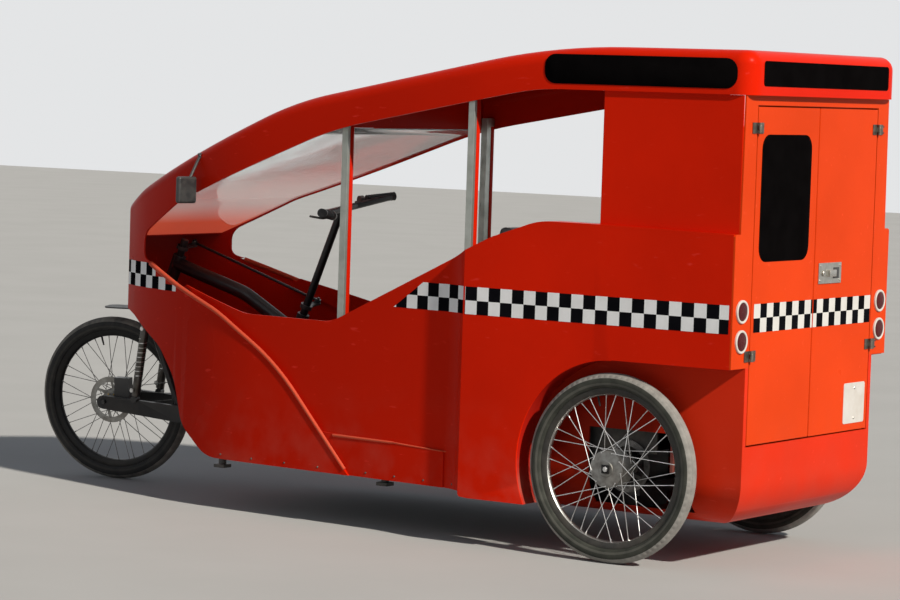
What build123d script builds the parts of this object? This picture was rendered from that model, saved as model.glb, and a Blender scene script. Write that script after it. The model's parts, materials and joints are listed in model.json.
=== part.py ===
from build123d import *
import os
from math import atan, cos, radians, sin, sqrt, tan

os.makedirs("parts", exist_ok=True)

# Millimetres. X forward, Y left, Z up. Stations in x are measured from the rear panel's face,
# heights from the ground; the finished pieces are moved so that x = 0 is the middle of the length.

# Wheels
WHEEL_R = 305.0
TYRE_R = 27.0
RIM_SEAT_R = 254.0
RIM_INNER_R = 234.0
RIM_HALF = 15.0
SPOKES_PER_SIDE = 18
SPOKE_R = 2.0
FLANGE_SPREAD = 33.0
FLANGE_T = 4.0
RUNNING = 0.05
MOVING_GAP = 5.0
SEAT_GAP = 0.3

REAR_AXLE_X = 432.0
REAR_FLANGE_R = 60.0
REAR_SHAFT_R = 10.0
REAR_DISC_R = 85.0
DISC_T = 4.0

FRONT_AXLE_X = 2881.0
FRONT_FLANGE_R = 40.0
FRONT_AXLE_R = 7.5
FRONT_DISC_R = 86.0
FRONT_DISC_Y = 44.0

# Steering: the axis leans back, and the wheel stands turned to the left.
HEAD_ANGLE = 68.0
STEER_ANGLE = 12.0
TRAIL = 70.0
STEERER_R = 14.0
HEAD_TUBE_R = 24.0
HEAD_LOW_Z = 700.0
HEAD_HIGH_Z = 850.0

# Shell: half widths, each from the one inside it
SKIN = 6.0
PROUD = 8.0
CABIN_HALF = 502.0
LEDGE_W = 33.0
WIDE_HALF = CABIN_HALF + LEDGE_W
WHEEL_INSET = 30.0
REAR_WHEEL_Y = WIDE_HALF - WHEEL_INSET
WHEEL_ROOM = 38.0
TUB_HALF = REAR_WHEEL_Y - TYRE_R - WHEEL_ROOM
DOOR_POST = 87.0
DOOR_HALF = CABIN_HALF - DOOR_POST
WAIST_X = 1000.0
FLARE_X = 1130.0
BEND_X = 1900.0
BEND_HALF = CABIN_HALF - 68.0
NOSE_SIDE_X = 2530.0
NOSE_SIDE_HALF = BEND_HALF - 166.0
NOSE_X = 2705.0
NOSE_HALF = NOSE_SIDE_HALF - 103.0
NOSE_BULGE = 28.0
NOSE_STEP = 12.0
LOW_Z = 180.0
LEDGE_Z = 1073.0
CABIN_FRONT_X = 510.0
LIP_OVERHANG = 24.0

# Heights of the upper body, each from the one below it
SILL_Z = 694.0
NOSE_SPLIT_Z = SILL_Z + 144.0
NOSE_TOP_Z = NOSE_SPLIT_Z + 184.0
HOOP_FRONT_Z = NOSE_TOP_Z + 78.0
HOOP_MID_Z = HOOP_FRONT_Z + 336.0
ROOF_TOP_Z = HOOP_MID_Z + 209.0
LIP_H = 140.0
CABIN_TOP_Z = ROOF_TOP_Z - LIP_H
OPEN_MID_Z = HOOP_MID_Z - 90.0
OPEN_FRONT_Z = HOOP_FRONT_Z - 37.0
OPEN_NOSE_Z = NOSE_SPLIT_Z + 102.0
ARCH_R = 345.0
ARCH_TOP_Z = 652.0
TUB_LOW_Z = 140.0
TUB_EDGE_R = 150.0

# Blocks that cut or keep a region reach past the body by this much.
BEYOND = 165.0
ACROSS = (-WIDE_HALF - BEYOND, WIDE_HALF + BEYOND)
UPWARD = (-BEYOND, ROOF_TOP_Z + BEYOND)

# Rear doors
DOOR_LOW_Z = 408.0
DOOR_HIGH_Z = CABIN_TOP_Z - 35.0
DOOR_T = 18.0

nodes = {}


def outline(table, plane):
    """A closed face through the table's points, each with its own corner radius."""
    corners = [(row[0], row[1]) for row in table]
    radii = [row[2] for row in table]
    return plane * make_face(FilletPolyline(*corners, radius=radii, close=True))


def side_block(table, y_low, y_high):
    """Columns x, z, corner radius: a side outline pulled across from y_low to y_high."""
    face = outline(table, Plane.XZ)
    return Pos(0, y_high, 0) * extrude(face, amount=y_high - y_low, dir=(0, -1, 0))


def ribbon(table, drop, thick, y_low, y_high):
    """A sheet across the body that follows a side line at a drop below it, thick downwards."""
    bends = [row[2] for row in table[1:-1]]
    upper = FilletPolyline(*[(x, z - drop) for x, z, _ in table], radius=bends)
    lower = FilletPolyline(*[(x, z - drop - thick) for x, z, _ in table], radius=bends)
    ends = [Line(upper @ 0, lower @ 0), Line(upper @ 1, lower @ 1)]
    face = Plane.XZ * make_face(Curve() + [upper, lower] + ends)
    return Pos(0, y_high, 0) * extrude(face, amount=y_high - y_low, dir=(0, -1, 0))


def box(x, y, z):
    """A box between two values along each axis."""
    size = (x[1] - x[0], y[1] - y[0], z[1] - z[0])
    middle = ((x[0] + x[1]) / 2, (y[0] + y[1]) / 2, (z[0] + z[1]) / 2)
    return Pos(*middle) * Box(*size)


def rod(start, end, radius):
    """A round bar from one point to another."""
    line = Vector(*end) - Vector(*start)
    plane = Plane(origin=start, z_dir=line)
    return plane * Cylinder(radius, line.length, align=(Align.CENTER, Align.CENTER, Align.MIN))


def bar(start, end, radius):
    """A three-sided bar from one point to another."""
    line = Vector(*end) - Vector(*start)
    plane = Plane(origin=start, z_dir=line)
    return extrude(plane * RegularPolygon(radius, 3), amount=line.length)


def bent_rod(points, bends, radius):
    """A bent round bar through points in a plane, with its bend radii."""
    path = FilletPolyline(*points, radius=bends)
    start = Plane(origin=path @ 0, z_dir=path % 0)
    return sweep(start * Circle(radius), path=path)


def mirrored(shape):
    return mirror(shape, about=Plane.XZ)


def pair(name, shape):
    """The left piece and its mirror image on the right."""
    nodes["left_" + name] = shape
    nodes["right_" + name] = mirrored(shape)


# Plan of the body: the whole shell follows this outline, at one inset or another.
CORNER_R = 60.0
EASE = 120.0


def taper_angle(step):
    """The angle of the tapered sides, which a step at the nose makes steeper."""
    return atan((CABIN_HALF - BEND_HALF + step) / (BEND_X - WAIST_X))


def side_half(x, step=0.0):
    """Half width of the sides at a station, where an arc eases them into the taper."""
    slope = taper_angle(step)
    along = max(x - (WAIST_X - EASE), 0)
    if along > EASE * (1 + cos(slope)):
        return CABIN_HALF - (x - WAIST_X) * tan(slope)
    radius = EASE / tan(slope / 2)
    return CABIN_HALF - radius + sqrt(radius ** 2 - along ** 2)


def plan_face(inset, step=0.0):
    """The plan outline at an inset; a step brings the nose's sides further in."""
    half = CABIN_HALF + PROUD - inset
    back_x = -LIP_OVERHANG + inset
    corner = max(CORNER_R - inset, SKIN)
    back = Line((back_x, 0), (back_x, half - corner))
    bend = TangentArc(back @ 1, (back_x + corner, half), tangent=back % 1)
    slope = taper_angle(step)
    side = Line(bend @ 1, (WAIST_X - EASE, half))
    ease = TangentArc(side @ 1, (WAIST_X + EASE * cos(slope), half - EASE * sin(slope)), tangent=side % 1)
    taper = Line(ease @ 1, (BEND_X, BEND_HALF + PROUD - inset - step))
    turn = TangentArc(taper @ 1, (NOSE_SIDE_X, NOSE_SIDE_HALF + PROUD - inset - step), tangent=taper % 1)
    nose_side = TangentArc(turn @ 1, (NOSE_X - inset / 2, NOSE_HALF + PROUD - inset - step), tangent=turn % 1)
    front = ThreePointArc(nose_side @ 1, (NOSE_X + NOSE_BULGE - inset, 0),
                          (NOSE_X - inset / 2, -NOSE_HALF - PROUD + inset + step))
    left = [back, bend, side, ease, taper, turn, nose_side]
    return make_face(Curve() + left + [front] + [mirrored(edge) for edge in left])


def plan_block(inset, step=0.0):
    return extrude(plan_face(inset, step), amount=ROOF_TOP_Z + BEYOND, dir=(0, 0, 1))


# Side view of the upper edge line, as columns x, z, corner radius.
TOP_LINE = [
    (-LIP_OVERHANG - BEYOND, ROOF_TOP_Z, 0),
    (700, ROOF_TOP_Z, 2600),
    (1780, HOOP_MID_Z, 1500),
    (2604, HOOP_FRONT_Z, 200),
    (NOSE_X + NOSE_BULGE + 40, NOSE_TOP_Z - 9, 0),
]


def under_top(drop):
    """Everything under the upper edge line, at a drop below it."""
    bends = [row[2] for row in TOP_LINE[1:-1]]
    line = FilletPolyline(*[(x, z - drop) for x, z, _ in TOP_LINE], radius=bends)
    low_back = (TOP_LINE[0][0], LOW_Z)
    low_front = (TOP_LINE[-1][0], LOW_Z)
    sides = [Line(line @ 1, low_front), Line(low_front, low_back), Line(low_back, line @ 0)]
    face = Plane.XZ * make_face(Curve() + [line] + sides)
    return Pos(0, ACROSS[1], 0) * extrude(face, amount=ACROSS[1] - ACROSS[0], dir=(0, -1, 0))


# The moulded upper body has a rounded shoulder all round.
SHOULDER_R = 45.0


def moulding(inset):
    """The upper body's form at an inset."""
    form = plan_block(inset) & under_top(inset)
    tops = [face for face in form.faces() if face.normal_at().Z > 0.3]
    walls = [face for face in form.faces() if abs(face.normal_at().Z) < 0.1]
    shoulder = []
    for edge in form.edges():
        middle = edge @ 0.5
        on_top = any(face.distance_to(middle) < 0.01 for face in tops)
        on_wall = any(face.distance_to(middle) < 0.01 for face in walls)
        if on_top and on_wall:
            shoulder.append(edge)
    return fillet(shoulder, SHOULDER_R - inset)


HOOP_T = PROUD - SEAT_GAP
OUTER = moulding(0)
CLEAR = moulding(PROUD)
SHELL = OUTER - moulding(HOOP_T)
inside = plan_block(PROUD)


OPENING_TOP = [
    (CABIN_FRONT_X, CABIN_TOP_Z, 4),
    (760, CABIN_TOP_Z, 900),
    (1597, OPEN_MID_Z, 1500),
    (2343, OPEN_FRONT_Z, 300),
]
OPENING = OPENING_TOP + [
    (2566, OPEN_NOSE_Z, 60),
    (2566, NOSE_SPLIT_Z + 15, 30),
    (2303, SILL_Z + 78, 300),
    (1990, SILL_Z, 300),
    (1590, SILL_Z, 200),
    (900, LEDGE_Z - 53, 200),
    (720, LEDGE_Z + 8, 250),
    (CABIN_FRONT_X, LEDGE_Z + 8, 4),
]
opening = side_block(OPENING, *ACROSS)

# Between the shoulders lie the roof, the screen and the nose's cap.
SHOULDER_W = 60.0
LIP_HALF = CABIN_HALF - SHOULDER_W
NOSE_CAP_X = 2596.0
NOSE_MIDDLE = NOSE_HALF - 15.0


def between(gap):
    """The region between the shoulders, less a gap."""
    lip = box((-LIP_OVERHANG - 1, CORNER_R + 1), (-LIP_HALF + gap, LIP_HALF - gap), UPWARD)
    nose = box((NOSE_CAP_X, NOSE_X + BEYOND), (-NOSE_MIDDLE + gap, NOSE_MIDDLE - gap), UPWARD)
    return plan_block(SHOULDER_W + gap) + lip + nose


# Hoops: the side bands that run from the nose over the cabin to the rear lip.
band_table = [
    (-LIP_OVERHANG - 1, ROOF_TOP_Z + 1, 0),
    (NOSE_X + NOSE_BULGE, ROOF_TOP_Z + 1, 0),
    (NOSE_X + NOSE_BULGE, NOSE_SPLIT_Z, 0),
    (2400, NOSE_SPLIT_Z, 0),
    (1400, OPEN_MID_Z - 46, 0),
    (700, CABIN_TOP_Z - 20, 0),
    (CABIN_FRONT_X, CABIN_TOP_Z + SEAT_GAP, 0),
    (-LIP_OVERHANG - 1, CABIN_TOP_Z + SEAT_GAP, 0),
]
NOSE_WALL_X = 2690.0
band = side_block(band_table, 1, ACROSS[1]) - opening - between(0)
band = band - box((NOSE_WALL_X, NOSE_X + BEYOND), ACROSS, UPWARD)
pair("hoop", band & SHELL)

# Roof: the top between the hoops, the turned-down lip at the rear and a header over the screen.
ROOF_FRONT_X = 1600.0
SCREEN_T = 4.0
SCREEN_LIFT = 10.0
roof_zone = between(SEAT_GAP) & box((-LIP_OVERHANG - 1, ROOF_FRONT_X), ACROSS, (CABIN_TOP_Z - 100, UPWARD[1]))
lip_under = box((-LIP_OVERHANG - 1, 100), ACROSS, (0, CABIN_TOP_Z + SEAT_GAP))
roof = (roof_zone - lip_under) & SHELL


def web(x_low, z_low):
    """A web across the body, up to the top between the shoulders."""
    slab = box((x_low, x_low + SKIN), ACROSS, (z_low, UPWARD[1]))
    return (slab & CLEAR) + (slab & between(SEAT_GAP) & OUTER)


HEADER_DROP = 4.8
HEADER_Z = OPEN_MID_Z + SCREEN_LIFT - HEADER_DROP
nodes["roof"] = roof + web(ROOF_FRONT_X - SKIN, HEADER_Z)

# Windscreen: a clear sheet a little above the opening's edge, from the header to the nose's cap.
screen_line = OPENING_TOP + [(NOSE_CAP_X + 20, OPEN_NOSE_Z - 27, 0)]
screen = ribbon(screen_line, -SCREEN_LIFT, SCREEN_T, *ACROSS)
screen = screen & box((ROOF_FRONT_X - SKIN, NOSE_CAP_X - SEAT_GAP), ACROSS, UPWARD)
nodes["windscreen"] = screen & inside

# Nose fairing: proud of the side panels, from the nose to the swept step.
NOSE_TABLE = [
    (NOSE_X + NOSE_BULGE + 5, NOSE_SPLIT_Z, 0),
    (2535, NOSE_SPLIT_Z, 0),
    (2335, SILL_Z + 72, 200),
    (2110, SILL_Z - 2, 700),
    (1830, 540, 900),
    (1486, LOW_Z, 0),
    (2150, LOW_Z, 160),
    (2290, 280, 120),
    (2340, 440, 200),
    (2440, 545, 200),
    (2640, 640, 60),
    (NOSE_X + NOSE_BULGE + 5, 668, 0),
]
nose_side = side_block(NOSE_TABLE, *ACROSS)
nose_front = box((NOSE_WALL_X + SEAT_GAP, NOSE_X + BEYOND), ACROSS, (NOSE_SPLIT_Z - 1, ROOF_TOP_Z))
nose_cap = box((NOSE_CAP_X, NOSE_X + BEYOND), ACROSS, (NOSE_SPLIT_Z + 1, ROOF_TOP_Z)) & between(SEAT_GAP)
fairing = (nose_side + nose_front + nose_cap) & SHELL
fairing = fairing + web(NOSE_CAP_X, OPEN_NOSE_Z - 13)

# The swept step's own face closes the fairing's edge down to the panels.
STEP_T = (9.0, -7.0)
step_strip = (nose_side - Pos(STEP_T[0], 0, STEP_T[1]) * nose_side) & box((1300, 2335), ACROSS, (LOW_Z, SILL_Z + 72))
step_face = (step_strip & plan_block(1)) - plan_block(PROUD - SEAT_GAP, NOSE_STEP)
nodes["nose_fairing"] = fairing + step_face

# Front side panels, between the sill and the swept step.
PANEL_END_X = 1530.0
FRONT_PANEL = [
    (WAIST_X + SEAT_GAP, LOW_Z, 0),
    (WAIST_X + SEAT_GAP, LEDGE_Z - 100, 0),
    (1590, SILL_Z, 200),
    (1990, SILL_Z, 300),
    (2303, SILL_Z + 78, 0),
    (2350, SILL_Z + 46, 0),
    (2135, SILL_Z - 32, 700),
    (1865, 515, 900),
    (PANEL_END_X, LOW_Z, 0),
]
front_strip = plan_block(PROUD, NOSE_STEP) - plan_block(PROUD + SKIN, NOSE_STEP)
flare_end = side_half(FLARE_X, NOSE_STEP)
flare_points = [(WAIST_X, WIDE_HALF), (FLARE_X, flare_end)]
flare_curve = ThreePointArc(flare_points[0], (WAIST_X + 50, CABIN_HALF + 2), flare_points[1])
flare_wall = make_face(Curve() + [
    flare_curve,
    Line(flare_points[1], (FLARE_X, flare_end - SKIN)),
    Line((FLARE_X, flare_end - SKIN), (WAIST_X, CABIN_HALF - SKIN)),
    Line((WAIST_X, CABIN_HALF - SKIN), flare_points[0]),
])
front_wall = front_strip + extrude(flare_wall, amount=ROOF_TOP_Z, dir=(0, 0, 1))
front_panel = front_wall & side_block(FRONT_PANEL, 1, ACROSS[1])

# The panel's lower strip stands out by a few millimetres, under a second, straight edge.
SILL_STRIP_T = 5.0
SILL_STRIP = [
    (1083, LOW_Z, 0),
    (1083, 299, 0),
    (1640, 318, 0),
    (1640, LOW_Z, 0),
]
strip_wall = plan_block(PROUD - SILL_STRIP_T, NOSE_STEP) - plan_block(PROUD + 1, NOSE_STEP)
sill_strip = (strip_wall & side_block(SILL_STRIP, 1, ACROSS[1])) - nose_side - Pos(-0.4, 0, 0.3) * nose_side
pair("front_panel", front_panel + sill_strip - nodes["nose_fairing"])

# Rear side panels: wide, with the wheel arch, and topped by the ledge.
WAIST_Z = LEDGE_Z - 100.5
WIDE_TABLE = [
    (0, ARCH_TOP_Z, 0),
    (0, LEDGE_Z, 0),
    (CABIN_FRONT_X, LEDGE_Z + 8, 0),
    (720, LEDGE_Z + 8, 250),
    (900, LEDGE_Z - 53, 200),
    (WAIST_X, WAIST_Z, 0),
    (WAIST_X, 163, 12),
    (960, 160, 0),
    (REAR_AXLE_X, 160, 0),
    (REAR_AXLE_X, ARCH_TOP_Z, 0),
]
arch = Pos(REAR_AXLE_X, 0, WHEEL_R) * Rot(90, 0, 0) * Cylinder(ARCH_R, 2 * ACROSS[1])
arch_back = box((-10, REAR_AXLE_X), ACROSS, (0, ARCH_TOP_Z - 2))
wide_wall = side_block(WIDE_TABLE, WIDE_HALF - SKIN, WIDE_HALF)
wide_panel = wide_wall - arch - arch_back
ledge = box((0, CABIN_FRONT_X), (CABIN_HALF + SEAT_GAP, WIDE_HALF), (LEDGE_Z - SKIN, LEDGE_Z))
sill_cap = side_block([
    (CABIN_FRONT_X, LEDGE_Z - SKIN, 0),
    (CABIN_FRONT_X, LEDGE_Z + 8, 0),
    (720, LEDGE_Z + 8, 250),
    (900, LEDGE_Z - 53, 200),
    (WAIST_X, WAIST_Z, 0),
    (WAIST_X, WAIST_Z - SKIN, 0),
    (900, LEDGE_Z - 53 - SKIN, 200),
    (720, LEDGE_Z + 8 - SKIN, 250),
    (CABIN_FRONT_X + 20, LEDGE_Z + 8 - SKIN, 0),
], CABIN_HALF - 40, WIDE_HALF)
pair("rear_panel", wide_panel + ledge + sill_cap)

# Cabin sides above the ledge.
CABIN_LAP = 40.0
cabin_side = box((SEAT_GAP + SKIN, CABIN_FRONT_X), (CABIN_HALF - SKIN, CABIN_HALF),
                 (LEDGE_Z - 60, CABIN_TOP_Z - SEAT_GAP))
cabin_side += box((CORNER_R, CABIN_FRONT_X), (CABIN_HALF - SKIN, CABIN_HALF),
                  (CABIN_TOP_Z - 10, CABIN_TOP_Z + CABIN_LAP))
return_flange = box((CABIN_FRONT_X - SKIN, CABIN_FRONT_X), (CABIN_HALF - 40, CABIN_HALF - SKIN),
                    (LEDGE_Z + 10, CABIN_TOP_Z))
pair("cabin_side", cabin_side + return_flange)

# Wheel housings: the arch sheet from the panel inwards to the tub.
arch_sheet = Pos(REAR_AXLE_X, 0, WHEEL_R) * Rot(90, 0, 0) * (
    Cylinder(ARCH_R + SKIN, 2 * ACROSS[1]) - Cylinder(ARCH_R, 3 * ACROSS[1]))
arch_sheet = arch_sheet & box((REAR_AXLE_X, 1200), (TUB_HALF, WIDE_HALF - SKIN - SEAT_GAP), (160, 700))
arch_flat = box((SKIN, REAR_AXLE_X), (TUB_HALF, WIDE_HALF - SKIN - SEAT_GAP),
                (WHEEL_R + ARCH_R, WHEEL_R + ARCH_R + SKIN))
pair("wheel_housing", arch_sheet + arch_flat)

TUB_FRONT_X = 900.0
FLOOR_Z = LOW_Z + 1

# Rear tub: lower rear body with rounded lower edges, open at the top and front.
tub_outer = box((0, TUB_FRONT_X), (-TUB_HALF, TUB_HALF), (TUB_LOW_Z, 653))
tub_outer = fillet(tub_outer.edges().group_by(Axis.Z)[0].sort_by(Axis.X)[:3], TUB_EDGE_R)
tub_inner = box((SKIN, TUB_FRONT_X - SKIN), (-TUB_HALF + SKIN, TUB_HALF - SKIN), (TUB_LOW_Z + SKIN, 660))
tub_inner = fillet(tub_inner.edges().group_by(Axis.Z)[0].sort_by(Axis.X)[:3], TUB_EDGE_R - SKIN)
tub_inner += box((TUB_FRONT_X - 20, TUB_FRONT_X + 10), (-TUB_HALF + SKIN, TUB_HALF - SKIN),
                 (FLOOR_Z + SKIN, 660))
axle_window = box((190, 560), ACROSS, (175, 425))
door_way = box((-50, 100), (-DOOR_HALF - MOVING_GAP, DOOR_HALF + MOVING_GAP),
               (DOOR_LOW_Z - MOVING_GAP, DOOR_HIGH_Z + MOVING_GAP))
nodes["rear_tub"] = tub_outer - tub_inner - axle_window - door_way

# Rear surround: the frame round the doors.
SURROUND = [
    (-WIDE_HALF, 653 + SEAT_GAP, 0),
    (-WIDE_HALF, LEDGE_Z, 10),
    (-CABIN_HALF, LEDGE_Z, 0),
    (-CABIN_HALF + 6, CABIN_TOP_Z - SEAT_GAP, 0),
    (CABIN_HALF - 6, CABIN_TOP_Z - SEAT_GAP, 0),
    (CABIN_HALF, LEDGE_Z, 0),
    (WIDE_HALF, LEDGE_Z, 10),
    (WIDE_HALF, 653 + SEAT_GAP, 0),
]
surround = extrude(outline(SURROUND, Plane.YZ), amount=SKIN, dir=(1, 0, 0))
under_lip = box((0, SKIN), (-CABIN_HALF + 6, CABIN_HALF - 6), (CABIN_TOP_Z - 2, ROOF_TOP_Z))
surround = surround + (under_lip & CLEAR) - door_way
nodes["rear_surround"] = surround

for name in ("left_rear_panel", "right_rear_panel"):
    nodes[name] = nodes[name] - box((-1, SKIN + SEAT_GAP), ACROSS, (0, CABIN_TOP_Z))

# Front wheel housing: the liner above and behind the front wheel.
LINER = [
    (2760, 690, 0),
    (2630, 656, 60),
    (2430, 566, 200),
    (2325, 453, 200),
    (2270, 290, 120),
    (2140, FLOOR_Z + SKIN, 130),
    (2000, FLOOR_Z + SKIN, 0),
]
steer_dir = Vector(-cos(radians(HEAD_ANGLE)), 0, sin(radians(HEAD_ANGLE)))
axis_ground_x = FRONT_AXLE_X + TRAIL


def steer_point(z):
    """The point of the steering axis at a height."""
    return (axis_ground_x - z / tan(radians(HEAD_ANGLE)), 0, z)


steer_axis = Axis(steer_point(0), steer_dir)
steerer_way = rod(steer_point(500), steer_point(900), HEAD_TUBE_R + MOVING_GAP)
nodes["front_housing"] = (ribbon(LINER, 0, SKIN, *ACROSS) & inside) - steerer_way

# Floor pan
FLOOR_END_X = LINER[-1][0]
floor = box((TUB_FRONT_X + SEAT_GAP, FLOOR_END_X - SEAT_GAP), ACROSS, (FLOOR_Z, FLOOR_Z + SKIN))
floor_wide = box((PANEL_END_X + 10, FLOOR_END_X - SEAT_GAP), ACROSS, (FLOOR_Z, FLOOR_Z + SKIN))
nodes["floor_pan"] = (floor & plan_block(PROUD + SKIN + SEAT_GAP, NOSE_STEP)) + (floor_wide & inside)


# Jack pads under the floor and the front liner.
PADS = {"rear": (1465.0, 280.0), "front": (2160.0, 290.0)}
PAD_SIDE = 44.0
PAD_LOW_Z = 132.0
PAD_STEM_R = 14.0
above_liner = ribbon(LINER, -200, 200 + SKIN + SEAT_GAP, *ACROSS)
pads = []
for pad_x, pad_y in PADS.values():
    for side in (-1, 1):
        foot_at = (pad_x, side * pad_y, PAD_LOW_Z)
        stem = rod(foot_at, (pad_x, side * pad_y, FLOOR_Z + 60), PAD_STEM_R)
        shoe = box((pad_x - PAD_SIDE / 2, pad_x + PAD_SIDE / 2),
                   (side * pad_y - PAD_SIDE / 2, side * pad_y + PAD_SIDE / 2), (PAD_LOW_Z, PAD_LOW_Z + 12))
        above_floor = box((0, FLOOR_END_X), ACROSS, (FLOOR_Z - SEAT_GAP, FLOOR_Z + 100))
        pads.append(shoe + stem - above_floor - above_liner)
nodes["jack_pads"] = pads[0] + pads[1] + pads[2] + pads[3]


# Main frame: head tube, two bent spine tubes, crossbars and bracket shell.
FRAME_R = 25.0
CRANK_X = 1950.0
CRANK_Z = 420.0
COLUMN_LOW = (2062.0, 0.0, 610.0)
COLUMN_R = 14.0


def column_point(z):
    """The point of the handlebar column's axis at a height."""
    return (COLUMN_LOW[0] - (z - COLUMN_LOW[2]) / tan(radians(HEAD_ANGLE)), 0, z)


head_tube = rod(steer_point(HEAD_LOW_Z), steer_point(HEAD_HIGH_Z), HEAD_TUBE_R)
head_bore = rod(steer_point(HEAD_LOW_Z - 50), steer_point(HEAD_HIGH_Z + 50), STEERER_R + RUNNING)
SPINE_Z = 232.0
BEAM_HALF = 20.0
SPINE = [
    steer_point(820),
    (2300, 0, 730),
    (1990, 0, 560),
    (1760, 0, 262),
    (1400, 0, SPINE_Z),
    (REAR_AXLE_X + BEAM_HALF + SEAT_GAP, 0, SPINE_Z),
]
spine = bent_rod(SPINE, [300, 200, 160, 400], FRAME_R)
CROSS_R = 15.0
CROSS_Z = 230.0
BENCH_ROOM = 40.0
BENCH_HALF = TUB_HALF - BENCH_ROOM
CROSS_BARS = {"front": (1500.0, CABIN_HALF - 122), "rear": (795.0, BENCH_HALF)}
FOOT = (40.0, 40.0)
crosses = [rod((x, -half, CROSS_Z), (x, half, CROSS_Z), CROSS_R) for x, half in CROSS_BARS.values()]
foot_x, foot_y = CROSS_BARS["front"]
foot = box((foot_x - FOOT[0] / 2, foot_x + FOOT[0] / 2), (foot_y - FOOT[1], foot_y),
           (FLOOR_Z + SKIN + SEAT_GAP, CROSS_Z))
bracket = rod((CRANK_X, -34, CRANK_Z), (CRANK_X, 34, CRANK_Z), 21)
bracket_post = rod((1890, 0, 395), (CRANK_X, 0, CRANK_Z), 18)
column_head = rod(column_point(590), column_point(672), COLUMN_R + 8)
column_bore = rod(column_point(596), column_point(720), COLUMN_R + RUNNING)
SADDLE = ((670, 730), (-22, 22))
SADDLE_Z = 262.0
saddle = box(*SADDLE, (SPINE_Z, SADDLE_Z))
SEAT_POST_X = 1300.0
seat_post = rod((SEAT_POST_X, 0, SPINE_Z), (SEAT_POST_X, 0, 645), 20)
frame = spine + head_tube + crosses[0] + crosses[1] + foot + mirrored(foot)
frame = frame + bracket + bracket_post + column_head + saddle + seat_post
CRANK_SPINDLE_R = 8.5
frame = frame - head_bore - column_bore - rod((CRANK_X, -60, CRANK_Z), (CRANK_X, 60, CRANK_Z), CRANK_SPINDLE_R + RUNNING)

# Rear axle carrier: beam and the two bearing housings.
BEARING_OUT = TUB_HALF - 45.0
BEARING_IN = BEARING_OUT - 55.0
REAR_DISC_Y = BEARING_OUT + 17.0
bearing = rod((REAR_AXLE_X, BEARING_IN, WHEEL_R), (REAR_AXLE_X, BEARING_OUT, WHEEL_R), 30)
bearing_bore = rod((REAR_AXLE_X, BEARING_IN + 3, WHEEL_R), (REAR_AXLE_X, TUB_HALF, WHEEL_R), REAR_SHAFT_R + RUNNING)
hanger = box((REAR_AXLE_X - BEAM_HALF, REAR_AXLE_X + BEAM_HALF), (BEARING_IN, BEARING_IN + 20),
             (215, WHEEL_R))
carrier_half = (bearing + hanger) - bearing_bore
beam = box((REAR_AXLE_X - BEAM_HALF, REAR_AXLE_X + BEAM_HALF), (-BEARING_IN - 20, BEARING_IN + 20), (205, CROSS_Z + CROSS_R))
nodes["rear_axle_beam"] = beam + carrier_half + mirrored(carrier_half)


# Wheels: a wire wheel and its tyre, built about the y axis at the origin.
def wire_wheel(flange_r, hub_r, disc_y, disc_r, bore_r, shaft_to):
    rim_profile = Plane.YZ * make_face(Polyline(
        (-RIM_HALF, RIM_SEAT_R), (-RIM_HALF, RIM_INNER_R + 8), (-6, RIM_INNER_R),
        (6, RIM_INNER_R), (RIM_HALF, RIM_INNER_R + 8), (RIM_HALF, RIM_SEAT_R), close=True))
    wheel = revolve(rim_profile, Axis.Y)
    hub = rod((0, -FLANGE_SPREAD - FLANGE_T, 0), (0, FLANGE_SPREAD + FLANGE_T, 0), hub_r)
    wheel += hub
    for sign in (-1, 1):
        wheel += rod((0, sign * (FLANGE_SPREAD - FLANGE_T / 2), 0),
                     (0, sign * (FLANGE_SPREAD + FLANGE_T / 2), 0), flange_r)
    spokes = []
    pitch = 360 / SPOKES_PER_SIDE
    for sign in (-1, 1):
        for i in range(SPOKES_PER_SIDE):
            turn = 55 if i % 2 else -55
            hub_angle = radians(i * pitch + (pitch / 2 if sign > 0 else 0))
            rim_angle = hub_angle + radians(turn)
            grip = flange_r - 5
            start = (grip * cos(hub_angle), sign * FLANGE_SPREAD, grip * sin(hub_angle))
            reach = RIM_INNER_R + 4
            end = (reach * cos(rim_angle), sign * 3, reach * sin(rim_angle))
            spokes.append(bar(start, end, SPOKE_R))
    wheel = wheel.fuse(*spokes)
    if disc_r:
        wheel += rod((0, disc_y - DISC_T / 2, 0), (0, disc_y + DISC_T / 2, 0), disc_r)
        wheel += rod((0, 0, 0), (0, disc_y, 0), hub_r)
    if shaft_to:
        wheel += rod((0, shaft_to, 0), (0, FLANGE_SPREAD + 14, 0), REAR_SHAFT_R)
    if bore_r:
        wheel -= rod((0, -200, 0), (0, 200, 0), bore_r)
    return wheel


TYRE_SIDES = 10


def tyre():
    """A ring whose section has flat tread, shoulders and sidewalls, open towards the rim."""
    section = Plane.YZ * (Pos(0, WHEEL_R - TYRE_R) * RegularPolygon(TYRE_R, TYRE_SIDES, major_radius=False))
    ring = revolve(section, Axis.Y)
    return ring - rod((0, -RIM_HALF, 0), (0, RIM_HALF, 0), RIM_SEAT_R + SEAT_GAP) \
        - rod((0, -2 * TYRE_R, 0), (0, 2 * TYRE_R, 0), RIM_SEAT_R - 4)


rear_hub_place = Pos(REAR_AXLE_X, REAR_WHEEL_Y, WHEEL_R)
rear_wire = wire_wheel(REAR_FLANGE_R, 26, REAR_DISC_Y - REAR_WHEEL_Y, REAR_DISC_R, 0,
                       BEARING_IN + 4 - REAR_WHEEL_Y)
pair("rear_wheel", rear_hub_place * rear_wire)
pair("rear_tyre", rear_hub_place * tyre())


def steered_point(x, y, z):
    """Where a point that was placed straight ahead lies once the steering is turned."""
    return Vertex(x, y, z).rotate(steer_axis, STEER_ANGLE).center()


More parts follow.
